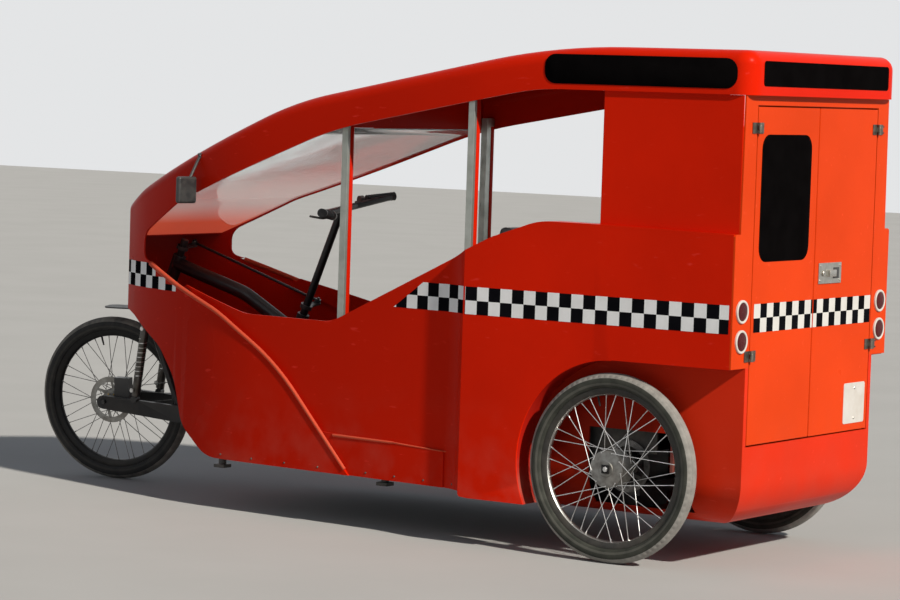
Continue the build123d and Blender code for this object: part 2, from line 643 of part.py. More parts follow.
# The front wheel's contact drops a little when it is turned, so its axle is lifted by that.
def turned_low(axle_z):
    centre = steered_point(FRONT_AXLE_X, 0, axle_z)
    tilt = (steered_point(FRONT_AXLE_X, 1, axle_z) - centre).Z
    return centre.Z - (WHEEL_R - TYRE_R) * (1 - tilt * tilt) ** 0.5 - TYRE_R


FRONT_AXLE_Z = WHEEL_R - turned_low(WHEEL_R)


def steered(shape):
    """Turns a piece that was built straight ahead about the steering axis."""
    return shape.rotate(steer_axis, STEER_ANGLE)


front_place = Pos(FRONT_AXLE_X, 0, FRONT_AXLE_Z)
front_wire = wire_wheel(FRONT_FLANGE_R, 20, FRONT_DISC_Y, FRONT_DISC_R, FRONT_AXLE_R + RUNNING, 0)
nodes["front_wheel"] = steered(front_place * front_wire)
nodes["front_tyre"] = steered(front_place * tyre())

# Fork: steerer, crown and two legs that run down behind the wheel to the arm's pivot.
LEG_Y = 63.0
LEG_R = 14.0
PIVOT_X, PIVOT_Z = 2578.0, 272.0
CROWN_Z = 620.0
CROWN_R = 17.0
DAMPER_Y = 96.0
DAMPER_R = 16.0
crown = steer_point(CROWN_Z)
steerer = rod(steer_point(CROWN_Z), steer_point(HEAD_HIGH_Z + 60), STEERER_R)
crown_half = DAMPER_Y + DAMPER_R
crown_bar = rod((crown[0], -crown_half, CROWN_Z), (crown[0], crown_half, CROWN_Z), CROWN_R)
COLLAR_R = 22.0
collar = rod(steer_point(CROWN_Z), steer_point(HEAD_LOW_Z - MOVING_GAP), COLLAR_R)
legs = [rod((crown[0], sign * LEG_Y, CROWN_Z), (PIVOT_X, sign * LEG_Y, PIVOT_Z), LEG_R)
        for sign in (-1, 1)]
pivots = [rod((PIVOT_X, sign * (LEG_Y - LEG_R), PIVOT_Z), (PIVOT_X, sign * (LEG_Y + LEG_R + 0.5), PIVOT_Z), 18)
          for sign in (-1, 1)]
LEVER = 90.0
LEVER_Z = HEAD_HIGH_Z + 30
lever_at = steer_point(LEVER_Z)
lever_plane = Plane(origin=lever_at, x_dir=(0, -1, 0), z_dir=steer_dir)
lever_bar = lever_plane * (Pos(LEVER / 2, 0, 0) * Box(LEVER + 20, 22, 8)) \
    + lever_plane * Cylinder(22, 14)
ROD_PIN_R = 5.0
lever_pin = lever_plane * (Pos(LEVER, 0, 9) * Cylinder(ROD_PIN_R, 26))
fork = steerer + crown_bar + collar + legs[0] + legs[1] + pivots[0] + pivots[1] + lever_bar + lever_pin
nodes["front_fork"] = steered(fork)

# Swing arm: two tapered plates and the axle between them.
ARM_IN, ARM_OUT = 82.0, 100.0
ARM_TABLE = [
    (PIVOT_X - 34, PIVOT_Z - 30, 26),
    (PIVOT_X - 34, PIVOT_Z + 32, 26),
    (FRONT_AXLE_X + 30, FRONT_AXLE_Z + 24, 23),
    (FRONT_AXLE_X + 30, FRONT_AXLE_Z - 24, 23),
]
arm_plate = side_block(ARM_TABLE, ARM_IN, ARM_OUT)
pivot_pin = rod((PIVOT_X, LEG_Y + LEG_R + 1, PIVOT_Z), (PIVOT_X, ARM_OUT, PIVOT_Z), 16)
axle = rod((FRONT_AXLE_X, -ARM_OUT - 10, FRONT_AXLE_Z), (FRONT_AXLE_X, ARM_OUT + 10, FRONT_AXLE_Z), FRONT_AXLE_R)
CALIPER = ((FRONT_AXLE_X - 95, FRONT_AXLE_X - 35), (FRONT_DISC_Y + DISC_T / 2 + MOVING_GAP, ARM_IN + 1),
           (FRONT_AXLE_Z + 8, FRONT_AXLE_Z + 90))
EYE_X, EYE_Z, EYE_R = 2752.0, 322.0, 12.0
eye_bar = rod((EYE_X, ARM_IN + 1, EYE_Z), (EYE_X, DAMPER_Y + DAMPER_R, EYE_Z), EYE_R)
arms = arm_plate + mirrored(arm_plate) + pivot_pin + mirrored(pivot_pin) + axle + box(*CALIPER)
arms = arms + eye_bar + mirrored(eye_bar)
nodes["swing_arm"] = steered(arms)

# Dampers from the crown to the arm.
damper_line = (Vector(crown[0], 0, CROWN_Z) - Vector(EYE_X, 0, EYE_Z)).normalized()
damper_low = Vector(EYE_X, DAMPER_Y, EYE_Z) + damper_line * (EYE_R + SEAT_GAP)
damper_high = Vector(crown[0], DAMPER_Y, CROWN_Z) - damper_line * (CROWN_R + SEAT_GAP)
damper = rod(tuple(damper_low), tuple(damper_high), DAMPER_R)
nodes["front_dampers"] = steered(damper + mirrored(damper))

# Handlebar column on a bracket, its axis parallel to the steering axis.
COLUMN_TOP_Z = 1055.0
column_axis = Axis(COLUMN_LOW, steer_dir)
column = rod(column_point(598), column_point(COLUMN_TOP_Z), COLUMN_R)
top = Vector(*column_point(COLUMN_TOP_Z))
grip_y = 300.0
handlebar = rod((top.X, -120, top.Z), (top.X, 120, top.Z), 12) \
    + rod((top.X, 115, top.Z), (top.X - 70, grip_y, top.Z + 20), 12) \
    + rod((top.X, -115, top.Z), (top.X - 70, -grip_y, top.Z + 20), 12)

# Steering rod: its levers stand to the right, so it stays parallel to itself as both turn.
COLUMN_LEVER_Z = 700.0
column_lever_plane = Plane(origin=column_point(COLUMN_LEVER_Z), x_dir=(0, -1, 0), z_dir=steer_dir)
column_lever = column_lever_plane * (Pos(LEVER / 2, 0, 0) * Box(LEVER + 20, 22, 8)) \
    + column_lever_plane * Cylinder(22, 14) \
    + column_lever_plane * (Pos(LEVER, 0, 9) * Cylinder(ROD_PIN_R, 26))
nodes["handlebar"] = (column + handlebar + column_lever).rotate(column_axis, STEER_ANGLE)

ROD_EYE_R = 11.0
ROD_EYE_T = 12.0
OPEN_EYE_GAP = 1.0

eye_centres = []
for plane, axis in ((lever_plane, steer_axis), (column_lever_plane, column_axis)):
    pin = plane * Pos(LEVER, 0, 4 + SEAT_GAP + ROD_EYE_T / 2)
    eye_centres.append(Vertex(*pin.position).rotate(axis, STEER_ANGLE).center())
eyes = []
for centre in eye_centres:
    plane = Plane(origin=centre, z_dir=steer_dir)
    eyes.append(plane * Cylinder(ROD_EYE_R, ROD_EYE_T))
link = rod(tuple(eye_centres[0]), tuple(eye_centres[1]), 5) + eyes[0] + eyes[1]
front_bore = Plane(origin=eye_centres[0], z_dir=steer_dir) * Cylinder(ROD_PIN_R + OPEN_EYE_GAP, 60)
rear_bore = Plane(origin=eye_centres[1], z_dir=steer_dir) * Cylinder(ROD_PIN_R + RUNNING, 60)
nodes["steering_rod"] = link - front_bore - rear_bore

# Crank, with its chain ring, arms and pedals.
CRANK_ARM = 170.0
CRANK_ARM_Y = 62.0
RING_R = 90.0
RING_Y = -44.0
PEDAL = (95.0, 70.0, 22.0)
spindle = rod((CRANK_X, -CRANK_ARM_Y - 8, CRANK_Z), (CRANK_X, CRANK_ARM_Y + 8, CRANK_Z), CRANK_SPINDLE_R)
crank = spindle + rod((CRANK_X, RING_Y - 2, CRANK_Z), (CRANK_X, RING_Y + 2, CRANK_Z), RING_R)
for sign in (-1, 1):
    tip_x = CRANK_X + sign * CRANK_ARM
    arm_y = sign * CRANK_ARM_Y
    crank += box(sorted((CRANK_X - sign * 14, tip_x + sign * 10)), (arm_y - 6, arm_y + 6),
                 (CRANK_Z - 12, CRANK_Z + 12))
    pedal_y = sorted((sign * (CRANK_ARM_Y + 16), sign * (CRANK_ARM_Y + 16 + PEDAL[1])))
    crank += box((tip_x - PEDAL[0] / 2, tip_x + PEDAL[0] / 2), pedal_y,
                 (CRANK_Z - PEDAL[2] / 2, CRANK_Z + PEDAL[2] / 2))
    crank += rod((tip_x, arm_y, CRANK_Z), (tip_x, pedal_y[0 if sign > 0 else 1], CRANK_Z), 6)
nodes["crank"] = crank

# Chain to the gear hub under the bench.
GEAR_X, GEAR_Z = 700.0, 305.0
GEAR_R = 36.0
CHAIN_T = 9.0
CHAIN_W = 7.0


def belt(grow):
    """The solid inside a loop round the chain ring and the gear hub's sprocket."""
    front = Pos(CRANK_X, CRANK_Z) * Circle(RING_R + grow)
    rear = Pos(GEAR_X, GEAR_Z) * Circle(GEAR_R + grow)
    face = Plane.XZ * make_hull(front.edges() + rear.edges()).face()
    return Pos(0, RING_Y + CHAIN_W / 2, 0) * extrude(face, amount=CHAIN_W, dir=(0, -1, 0))


nodes["chain"] = belt(SEAT_GAP + CHAIN_T) - belt(SEAT_GAP)
nodes["gear_hub"] = rod((GEAR_X, -30, GEAR_Z), (GEAR_X, 60, GEAR_Z), 42) \
    + rod((GEAR_X, RING_Y - 2, GEAR_Z), (GEAR_X, -30, GEAR_Z), GEAR_R) \
    + box((GEAR_X - 25, GEAR_X + 25), (-22, 22), (SADDLE_Z + SEAT_GAP, GEAR_Z))

# Pillars at the entrance, standing inside the side panels.
PILLAR_X = {"front": 1558.0, "rear": 1020.0}
PILLAR_W, PILLAR_D = 25.0, 35.0
PILLAR_TOP = {"front": OPEN_MID_Z + 46, "rear": CABIN_TOP_Z - 5}
PILLAR_LOW = {"front": SILL_Z - 54, "rear": LEDGE_Z - 193}
pillars = []
for place, x in PILLAR_X.items():
    outer = side_half(x + PILLAR_W / 2, NOSE_STEP) - SKIN - SEAT_GAP
    post = box((x - PILLAR_W / 2, x + PILLAR_W / 2), (outer - PILLAR_D, outer),
               (PILLAR_LOW[place], PILLAR_TOP[place]))
    pad_out = side_half(x + PILLAR_W / 2)
    pad = box((x - PILLAR_W / 2, x + PILLAR_W / 2), (outer - 4, pad_out), (PILLAR_TOP[place] - 30, PILLAR_TOP[place]))
    pillars.append(post + (pad & inside))
pair("pillars", pillars[0] + pillars[1])

# Rear doors: two leaves, with hinges on the surround and a latch on the right leaf.
LEAF_GAP = 7.0
leaf = box((0, DOOR_T), (LEAF_GAP / 2, DOOR_HALF), (DOOR_LOW_Z, DOOR_HIGH_Z))
nodes["left_door"] = leaf
PLATE_SCREW_R = 2.6
PLATE_Y = -320.0
PLATE_Z = 498.0
PLATE_SCREW_SPREAD = 100.0
right_leaf = mirrored(leaf)
for sign in (-1, 1):
    z = PLATE_Z + sign * PLATE_SCREW_SPREAD / 2
    right_leaf -= rod((-1, PLATE_Y, z), (12, PLATE_Y, z), PLATE_SCREW_R)
nodes["right_door"] = right_leaf

HINGE_X = -8.0
HINGE_Y = DOOR_HALF + MOVING_GAP / 2
HINGE_ZS = (690.0, 1404.0)
KNUCKLE_R = 7.0
HINGE_PIN_R = 3.5
HINGE_H = 34.0
KNUCKLE_H = 16.0
HINGE_PLATE = (8.0, 36.0)
HINGE_PLATE_T = 3.0
fixed_hinges = []
leaf_hinges = []
for z in HINGE_ZS:
    pin = rod((HINGE_X, HINGE_Y, z - HINGE_H / 2), (HINGE_X, HINGE_Y, z + HINGE_H / 2), HINGE_PIN_R)
    outer_plate = box((-HINGE_PLATE_T, 0), (HINGE_Y + HINGE_PLATE[0], HINGE_Y + HINGE_PLATE[1]),
                      (z - HINGE_H / 2, z + HINGE_H / 2))
    fixed = pin + outer_plate
    for sign in (-1, 1):
        ends = sorted((z + sign * (KNUCKLE_H / 2 + 0.5), z + sign * HINGE_H / 2))
        fixed += rod((HINGE_X, HINGE_Y, ends[0]), (HINGE_X, HINGE_Y, ends[1]), KNUCKLE_R)
        fixed += box((-HINGE_PLATE_T, 0), (HINGE_Y, HINGE_Y + HINGE_PLATE[0] + 1), ends)
        fixed += box((HINGE_X, -HINGE_PLATE_T + 1), (HINGE_Y, HINGE_Y + KNUCKLE_R), ends)
    fixed_hinges.append(fixed)
    knuckle = rod((HINGE_X, HINGE_Y, z - KNUCKLE_H / 2), (HINGE_X, HINGE_Y, z + KNUCKLE_H / 2), KNUCKLE_R)
    knuckle += box((-HINGE_PLATE_T, 0), (HINGE_Y - HINGE_PLATE[1], HINGE_Y - HINGE_PLATE[0]),
                   (z - HINGE_H / 2, z + HINGE_H / 2))
    knuckle += box((-HINGE_PLATE_T, 0), (HINGE_Y - HINGE_PLATE[0] - 1, HINGE_Y - 3),
                   (z - KNUCKLE_H / 2, z + KNUCKLE_H / 2))
    knuckle += box((HINGE_X, -HINGE_PLATE_T + 1), (HINGE_Y - KNUCKLE_R, HINGE_Y - 4),
                   (z - KNUCKLE_H / 2, z + KNUCKLE_H / 2))
    knuckle -= rod((HINGE_X, HINGE_Y, z - 50), (HINGE_X, HINGE_Y, z + 50), HINGE_PIN_R + RUNNING)
    leaf_hinges.append(knuckle)
pair("door_hinges", fixed_hinges[0] + fixed_hinges[1])
pair("leaf_hinges", leaf_hinges[0] + leaf_hinges[1])
LATCH_Y = (-186.0, -28.0)
LATCH_Z = (902.0, 970.0)
latch = box((-4, 0), LATCH_Y, LATCH_Z)
latch += box((-16, -3), (-130, -84), (925, 947))
nodes["door_latch"] = latch

# Rear lamps: two round ones on each corner post.
LAMP_R = 37.0
LAMP_T = 7.0
LAMP_Y = WIDE_HALF - 56.0
LAMP_ZS = (832.0, 738.0)
lamps = [rod((-LAMP_T, LAMP_Y, z), (0, LAMP_Y, z), LAMP_R) for z in LAMP_ZS]
pair("tail_lamps", lamps[0] + lamps[1])

# Head lamp on the nose.
nose_tip_x = NOSE_X + NOSE_BULGE
nodes["head_lamp"] = rod((nose_tip_x + SEAT_GAP, 0, 760), (nose_tip_x + 34, 0, 760), 46)

# Mirror on the left hoop.
MIRROR = (22.0, 83.0, 94.0)
MIRROR_EDGE_R = 9.0
MIRROR_X = 2238.0
MIRROR_Y = BEND_HALF + 6
MIRROR_Z = HOOP_FRONT_Z + 12
STALK_X = 2222.0
STALK_Y = BEND_HALF - 49.5
STALK_Z = HOOP_FRONT_Z + 135
mirror_glass = Pos(MIRROR_X, MIRROR_Y, MIRROR_Z) * Rot(0, 0, -12) * fillet(Box(*MIRROR).edges(), MIRROR_EDGE_R)
mirror_arm = rod((STALK_X, STALK_Y, STALK_Z), (MIRROR_X - 2, MIRROR_Y - 8, MIRROR_Z + 28), 5)
mirror_arm += rod((STALK_X, STALK_Y, STALK_Z - 10), (STALK_X, STALK_Y + 5.5, STALK_Z + 5), 7)
mirror_arm = mirror_arm - nodes["left_hoop"] - plan_block(HOOP_T)
nodes["mirror"] = mirror_glass + Pos(0, 0.2, 0) * mirror_arm

# Front mudguard: a flat blade that a bracket holds on the fork's crown.
GUARD_Z = FRONT_AXLE_Z + 341.0
GUARD_T = 5.0
GUARD_HALF = 36.0
GUARD_END_X = 2914.0
guard_x = crown[0] + COLLAR_R * sin(radians(HEAD_ANGLE)) + SEAT_GAP
blade = box((guard_x, GUARD_END_X), (-GUARD_HALF, GUARD_HALF), (GUARD_Z, GUARD_Z + GUARD_T))
blade = fillet(blade.edges().filter_by(Axis.Z).group_by(Axis.X)[-1], 24)
bracket_tab = box((guard_x, guard_x + GUARD_T), (-14, 14), (CROWN_Z - 8, GUARD_Z + 1))
nodes["front_mudguard"] = steered(blade + bracket_tab)

# Benches, seat and battery.
LUGGAGE_WALL_X = 250.0
nodes["luggage_wall"] = box((LUGGAGE_WALL_X, LUGGAGE_WALL_X + 12),
                            (-TUB_HALF + SKIN + SEAT_GAP, TUB_HALF - SKIN - SEAT_GAP), (300, 1400))
BENCH = (330.0, 800.0)
BENCH_TOP = 480.0
bench_low = CROSS_Z + CROSS_R + SEAT_GAP
bench = box(BENCH, (-BENCH_HALF, BENCH_HALF), (bench_low, BENCH_TOP)) \
    - box((BENCH[0] - 1, BENCH[1] - 10), (-BENCH_HALF + 10, BENCH_HALF - 10), (bench_low - 1, BENCH_TOP - 10))
bench -= box((BENCH[0] - 1, 480), (-BENCH_HALF - 1, BENCH_HALF + 1), (bench_low - 1, 350))
bench -= box((BENCH[1] - 20, BENCH[1] + 10), (-56, 34), (bench_low - 1, 382))
nodes["bench_base"] = bench
nodes["bench_cushion"] = box((BENCH[0] + 20, BENCH[1] + 10), (-BENCH_HALF, BENCH_HALF),
                             (BENCH_TOP + SEAT_GAP, BENCH_TOP + 90))
nodes["bench_backrest"] = box((LUGGAGE_WALL_X + 12 + SEAT_GAP, LUGGAGE_WALL_X + 90),
                              (-BENCH_HALF, BENCH_HALF), (BENCH_TOP + 92, 1130))
nodes["battery_box"] = box((480, 760), (60, 270), (TUB_LOW_Z + SKIN + SEAT_GAP, 330))
RIDER_SEAT = [
    (1120, 655, 0),
    (1045, 1050, 20),
    (1105, 1050, 20),
    (1175, 705, 60),
    (1440, 690, 18),
    (1460, 645, 15),
    (1150, 625, 30),
]
nodes["rider_seat"] = side_block(RIDER_SEAT, -180, 180)
nodes["frame"] = frame - Pos(0, 0, -SEAT_GAP) * nodes["rider_seat"]

# Move every piece so that the middle of the length is at x = 0.
boxes = [shape.bounding_box() for shape in nodes.values()]
SHIFT_X = -(min(b.min.X for b in boxes) + max(b.max.X for b in boxes)) / 2
for name, shape in nodes.items():
    export_step(Pos(SHIFT_X, 0, 0) * shape, f"parts/{name}.step")
print("middle moved by", SHIFT_X)
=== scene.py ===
import bmesh
import bpy
import json
from math import acos, atan2, cos, pi, radians, sin
from mathutils import Matrix, Vector
from mathutils.bvhtree import BVHTree


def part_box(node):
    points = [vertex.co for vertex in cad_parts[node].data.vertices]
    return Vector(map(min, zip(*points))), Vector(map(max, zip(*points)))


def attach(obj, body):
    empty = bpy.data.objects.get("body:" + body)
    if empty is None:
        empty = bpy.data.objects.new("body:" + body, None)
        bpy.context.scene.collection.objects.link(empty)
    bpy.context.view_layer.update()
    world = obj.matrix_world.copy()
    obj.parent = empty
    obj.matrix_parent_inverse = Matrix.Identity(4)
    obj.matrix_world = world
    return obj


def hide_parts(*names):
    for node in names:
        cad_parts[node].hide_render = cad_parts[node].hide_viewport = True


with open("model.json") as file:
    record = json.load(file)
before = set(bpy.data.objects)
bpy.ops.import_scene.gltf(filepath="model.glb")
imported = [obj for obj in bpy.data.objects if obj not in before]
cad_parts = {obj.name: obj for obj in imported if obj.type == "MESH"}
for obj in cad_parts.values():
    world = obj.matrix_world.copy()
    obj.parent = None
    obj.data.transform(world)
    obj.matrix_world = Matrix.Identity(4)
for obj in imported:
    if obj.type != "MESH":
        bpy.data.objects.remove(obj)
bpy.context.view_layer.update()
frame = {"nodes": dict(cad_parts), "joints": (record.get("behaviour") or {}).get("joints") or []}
scene = bpy.context.scene
joints = {joint["name"]: joint for joint in frame["joints"]}

# Stations along the body are measured forward from the rear panel's face, in metres.
REAR_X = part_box("rear_surround")[0].x
LIP_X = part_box("roof")[0].x
SIDES = (("left", 1), ("right", -1))
X, Y = Vector((1, 0, 0)), Vector((0, 1, 0))


def at(station, y, z):
    """A point given by its station along the body."""
    return Vector((REAR_X + station, y, z))


def place_object(name, data):
    made = bpy.data.objects.new(name, data)
    scene.collection.objects.link(made)
    return made


# Mesh building
class Shape:
    """Vertices and faces of one piece, gathered before its object is made."""

    def __init__(self):
        self.verts = []
        self.faces = []
        self.slots = []

    def add(self, verts, faces, slot=0, matrix=None):
        start = len(self.verts)
        for vert in verts:
            vert = Vector(vert)
            self.verts.append(matrix @ vert if matrix else vert)
        for face in faces:
            self.faces.append([start + index for index in face])
            self.slots.append(slot)

    def build(self, name, body, slot, materials, sharp=35, matrix=None):
        mesh = bpy.data.meshes.new(name)
        verts = [matrix @ v for v in self.verts] if matrix else self.verts
        mesh.from_pydata([tuple(v) for v in verts], [], self.faces)
        for polygon, index in zip(mesh.polygons, self.slots):
            polygon.material_index = index
        mesh.validate()
        work = bmesh.new()
        work.from_mesh(mesh)
        bmesh.ops.recalc_face_normals(work, faces=work.faces)
        work.to_mesh(mesh)
        work.free()
        mesh.shade_smooth()
        mesh.set_sharp_from_angle(angle=radians(sharp))
        for material in materials:
            mesh.materials.append(material)
        piece = place_object(name, mesh)
        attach(piece, body)
        return piece


def polar(radius, turn, y=0.0):
    """A point round the y axis."""
    return Vector((radius * cos(turn), y, radius * sin(turn)))


def ring_faces(rings, count, closed=True, looped=False):
    """Faces between rings of points. A looped row of rings joins its last ring to its first."""
    faces = []
    for i in range(rings if looped else rings - 1):
        here, there = i * count, (i + 1) % rings * count
        for k in range(count if closed else count - 1):
            after = (k + 1) % count
            faces.append((here + k, here + after, there + after, there + k))
    return faces


def lathe(profile, segments, closed=True):
    """Turns a profile of (radius, along) about the y axis."""
    verts = [polar(r, 2 * pi * i / segments, y) for i in range(segments) for r, y in profile]
    return verts, ring_faces(segments, len(profile), closed, looped=True)


def sweep(points, radius, sides=8, ends=True):
    """A round tube through points, with one radius or one for each point."""
    points = [Vector(p) for p in points]
    radii = radius if isinstance(radius, (list, tuple)) else [radius] * len(points)
    verts = []
    across = (points[1] - points[0]).normalized().orthogonal().normalized()
    for i, point in enumerate(points):
        forward = (points[min(i + 1, len(points) - 1)] - points[max(i - 1, 0)]).normalized()
        across = (across - forward * across.dot(forward)).normalized()
        up = forward.cross(across)
        for k in range(sides):
            turn = 2 * pi * k / sides
            verts.append(point + (across * cos(turn) + up * sin(turn)) * radii[i])
    faces = ring_faces(len(points), sides)
    if ends:
        faces.append(tuple(range(sides))[::-1])
        faces.append(tuple(range(len(verts) - sides, len(verts))))
    return verts, faces


def prism(outline, half):
    """A flat piece: an outline moved both ways by half its thickness."""
    n = len(outline)
    verts = [p - half for p in outline] + [p + half for p in outline]
    return verts, ring_faces(2, n) + [tuple(range(n))[::-1], tuple(range(n, 2 * n))]


MOST_OF_RUN = 0.49


def rounded(points, reach, steps=5):
    """The line through points with each corner rounded over its reach along both runs."""
    points = [Vector(p) for p in points]
    line = [points[0]]
    reaches = reach if isinstance(reach, list) else [reach] * len(points)
    for before, corner, after, most in zip(points, points[1:], points[2:], reaches):
        start, end = (corner + (p - corner).normalized() * min(most, (p - corner).length * MOST_OF_RUN)
                      for p in (before, after))
        for i in range(steps + 1):
            t = i / steps
            line.append(start * (1 - t) ** 2 + corner * 2 * t * (1 - t) + end * t ** 2)
    line.append(points[-1])
    return line


def block(low, high, bevel):
    """A box between two corners, with rounded edges."""
    work = bmesh.new()
    bmesh.ops.create_cube(work, size=1)
    size = Vector(high) - Vector(low)
    middle = (Vector(high) + Vector(low)) / 2
    for vert in work.verts:
        vert.co = Vector(vert.co[i] * size[i] + middle[i] for i in range(3))
    bmesh.ops.bevel(work, geom=work.edges[:], offset=min(bevel, min(size) * 0.45), segments=2, profile=0.5,
                    affect="EDGES")
    verts = [v.co.copy() for v in work.verts]
    faces = [[v.index for v in f.verts] for f in work.faces]
    work.free()
    return verts, faces


def disc(start, end, radius, segments=24, chamfer=0.0):
    """A round bar between two points, with chamfered rims."""
    start, end = Vector(start), Vector(end)
    along = (end - start).normalized()
    points = [start, end]
    radii = [radius, radius]
    if chamfer:
        points = [start, start + along * chamfer, end - along * chamfer, end]
        radii = [radius - chamfer, radius, radius, radius - chamfer]
    return sweep(points, radii, segments)


def hexagon(start, end, radius):
    return disc(start, end, radius, segments=6, chamfer=radius * 0.12)


# Materials
def feed(tree, socket, value):
    """Gives an input a value, or another node's output."""
    if isinstance(value, bpy.types.NodeSocket):
        tree.links.new(value, socket)
    else:
        socket.default_value = value


def add_node(tree, kind, inputs=None, **settings):
    node = tree.nodes.new(kind)
    for key, value in settings.items():
        setattr(node, key, value)
    for key, value in (inputs or {}).items():
        feed(tree, node.inputs[key], value)
    return node


class Material:
    """A principled material with procedural variation."""

    def __init__(self, name, color, rough, metal=0.0, coat=0.0, gloss=0.5):
        self.data = bpy.data.materials.new(name)
        self.data.use_nodes = True
        self.tree = self.data.node_tree
        self.color = (*color, 1)
        self.rough = rough
        self.place = self.node("ShaderNodeTexCoord").outputs["Object"]
        self.normal = None
        for socket, value in (("Base Color", self.color), ("Roughness", rough), ("Metallic", metal),
                              ("Coat Weight", coat), ("Coat Roughness", 0.08), ("Specular IOR Level", gloss)):
            self.set(socket, value)

    def node(self, kind, inputs=None, **settings):
        return add_node(self.tree, kind, inputs, **settings)

    def set(self, socket, value):
        feed(self.tree, self.tree.nodes["Principled BSDF"].inputs[socket], value)

    def noise(self, scale, detail=3.0, stretch=(1, 1, 1)):
        mapping = self.node("ShaderNodeMapping", {"Scale": stretch, "Vector": self.place})
        inputs = {"Scale": scale, "Detail": detail, "Vector": mapping.outputs[0]}
        return self.node("ShaderNodeTexNoise", inputs).outputs["Fac"]

    def cells(self, scale, **settings):
        inputs = {"Scale": scale, "Vector": self.place}
        return self.node("ShaderNodeTexVoronoi", inputs, **settings).outputs["Distance"]

    def along(self, axis):
        return self.node("ShaderNodeSeparateXYZ", {0: self.place}).outputs[axis]

    def ramp(self, value, low, high, from_low, from_high):
        """Takes a value from one range to another."""
        inputs = {"From Min": from_low, "From Max": from_high, "To Min": low, "To Max": high, "Value": value}
        return self.node("ShaderNodeMapRange", inputs).outputs["Result"]

    def mix(self, factor, first, second):
        first, second = ((*value[:3], 1) if isinstance(value, tuple) else value for value in (first, second))
        inputs = {"Factor": factor, 6: first, 7: second}
        return self.node("ShaderNodeMix", inputs, data_type="RGBA").outputs[2]

    def times(self, first, second):
        return self.node("ShaderNodeMath", {0: first, 1: second}, operation="MULTIPLY").outputs[0]

    def bump(self, height, strength, distance):
        inputs = {"Strength": strength, "Distance": distance, "Height": height}
        if self.normal is not None:
            inputs["Normal"] = self.normal
        self.normal = self.node("ShaderNodeBump", inputs).outputs["Normal"]
        self.set("Normal", self.normal)

    def edge_mask(self):
        """1 along outer edges, where finishes wear."""
        geometry = self.node("ShaderNodeNewGeometry")
        return self.ramp(geometry.outputs["Pointiness"], 0.0, 1.0, 0.5, 0.56)

    def near_mask(self, centre, near, far):
        """1 close to a line across the vehicle and 0 away from it, seen from the side."""
        value = self.place
        for operation, other in (("SUBTRACT", centre), ("MULTIPLY", (1, 0, 1))):
            value = self.node("ShaderNodeVectorMath", {0: value, 1: other}, operation=operation).outputs[0]
        away = self.node("ShaderNodeVectorMath", {0: value}, operation="LENGTH")
        return self.ramp(away.outputs["Value"], 1.0, 0.0, near, far)

    def vary(self, scale, shade, rough_by=0.08):
        """Mottles the colour towards a shade, and the roughness with it."""
        cloud = self.noise(scale, 4.0)
        color = self.mix(self.ramp(cloud, 0.0, 1.0, 0.35, 0.7), self.color, shade)
        self.set("Base Color", color)
        self.set("Roughness", self.ramp(cloud, self.rough - rough_by, self.rough + rough_by, 0.3, 0.7))
        return color

    def dirty(self, color, amount, low, high):
        """Dust over a colour, thicker low down and in cloudy patches."""
        patches = self.ramp(self.noise(9.0, 6.0), 0.0, 1.0, 0.42, 0.72)
        mask = self.times(self.times(self.ramp(self.along("Z"), 1.0, 0.0, low, high), patches), amount)
        mixed = self.mix(mask, color, DUST)
        self.set("Base Color", mixed)
        return mixed


DUST = (0.30, 0.25, 0.19)


def shaded(color, share, lift=0.0):
    return tuple(min(1, c * share + lift) for c in color)


# Where the body's paint is darkened from rear to front, a painted shade, and how high dust lies on it
FRONT_SHADE_X = (-0.9, 0.3)
BODY_DUST = (0.15, 0.50)


def red_paint(name, color, rough, amount, dust_heights=BODY_DUST, shade_centre=None):
    """Body paint with a painted shade towards the front and round a place, and with scuffs and dust."""
    paint = Material(name, color, rough, gloss=0.03)
    mixed = paint.vary(2.2, shaded(color, 0.86), rough_by=0.05)
    # Painted shade: the paint darkens towards the front.
    mixed = paint.mix(paint.ramp(paint.along("X"), 0.0, 1.0, *FRONT_SHADE_X), mixed, shaded(color, 0.72))
    scuffs = paint.ramp(paint.noise(60.0, 8.0, (0.25, 1, 1)), 0.0, 0.5, 0.66, 0.74)
    mixed = paint.mix(scuffs, mixed, shaded(color, 1.1, 0.03))
    mixed = paint.dirty(mixed, amount, *dust_heights)
    # Painted shade round a place, darkening the paint there.
    if shade_centre:
        mixed = paint.mix(paint.near_mask(shade_centre, 0.24, 0.37), mixed, shaded(color, 0.42, 0.001))
        paint.set("Base Color", mixed)
    paint.bump(paint.noise(5.0, 2.0), 0.12, 0.004)
    paint.bump(paint.noise(420.0, 2.0), 0.04, 0.0004)
    return paint.data


RED = (0.66, 0.0145, 0.0018)
# Painted shade on the tub lies behind the rear wheels and a little before them, where the body and the wheels
# shade it.
TUB_SHADE_CENTRE = sum(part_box("left_rear_wheel"), Vector()) / 2 + Vector((0.09, 0, 0))
red = red_paint("red_paint", RED, 0.30, 0.12)
# A lighter, more orange copy of the body paint for the rear and its doors: painted sunlight.
red_rear = red_paint("red_rear", (0.66, 0.050, 0.006), 0.32, 0.10)
# A lighter copy of the body paint for the ledge edges: a painted highlight.
red_highlight = red_paint("red_highlight", (0.70, 0.100, 0.050), 0.32, 0.10)
red_tub = red_paint("red_tub", (0.65, 0.030, 0.008), 0.32, 0.06, shade_centre=TUB_SHADE_CENTRE)
# A darker copy of the body paint for the insides of the housings: painted shade, with dust.
red_inner_shaded = red_paint("red_inner_shaded", (0.42, 0.012, 0.006), 0.5, 0.35, (0.12, 0.5))


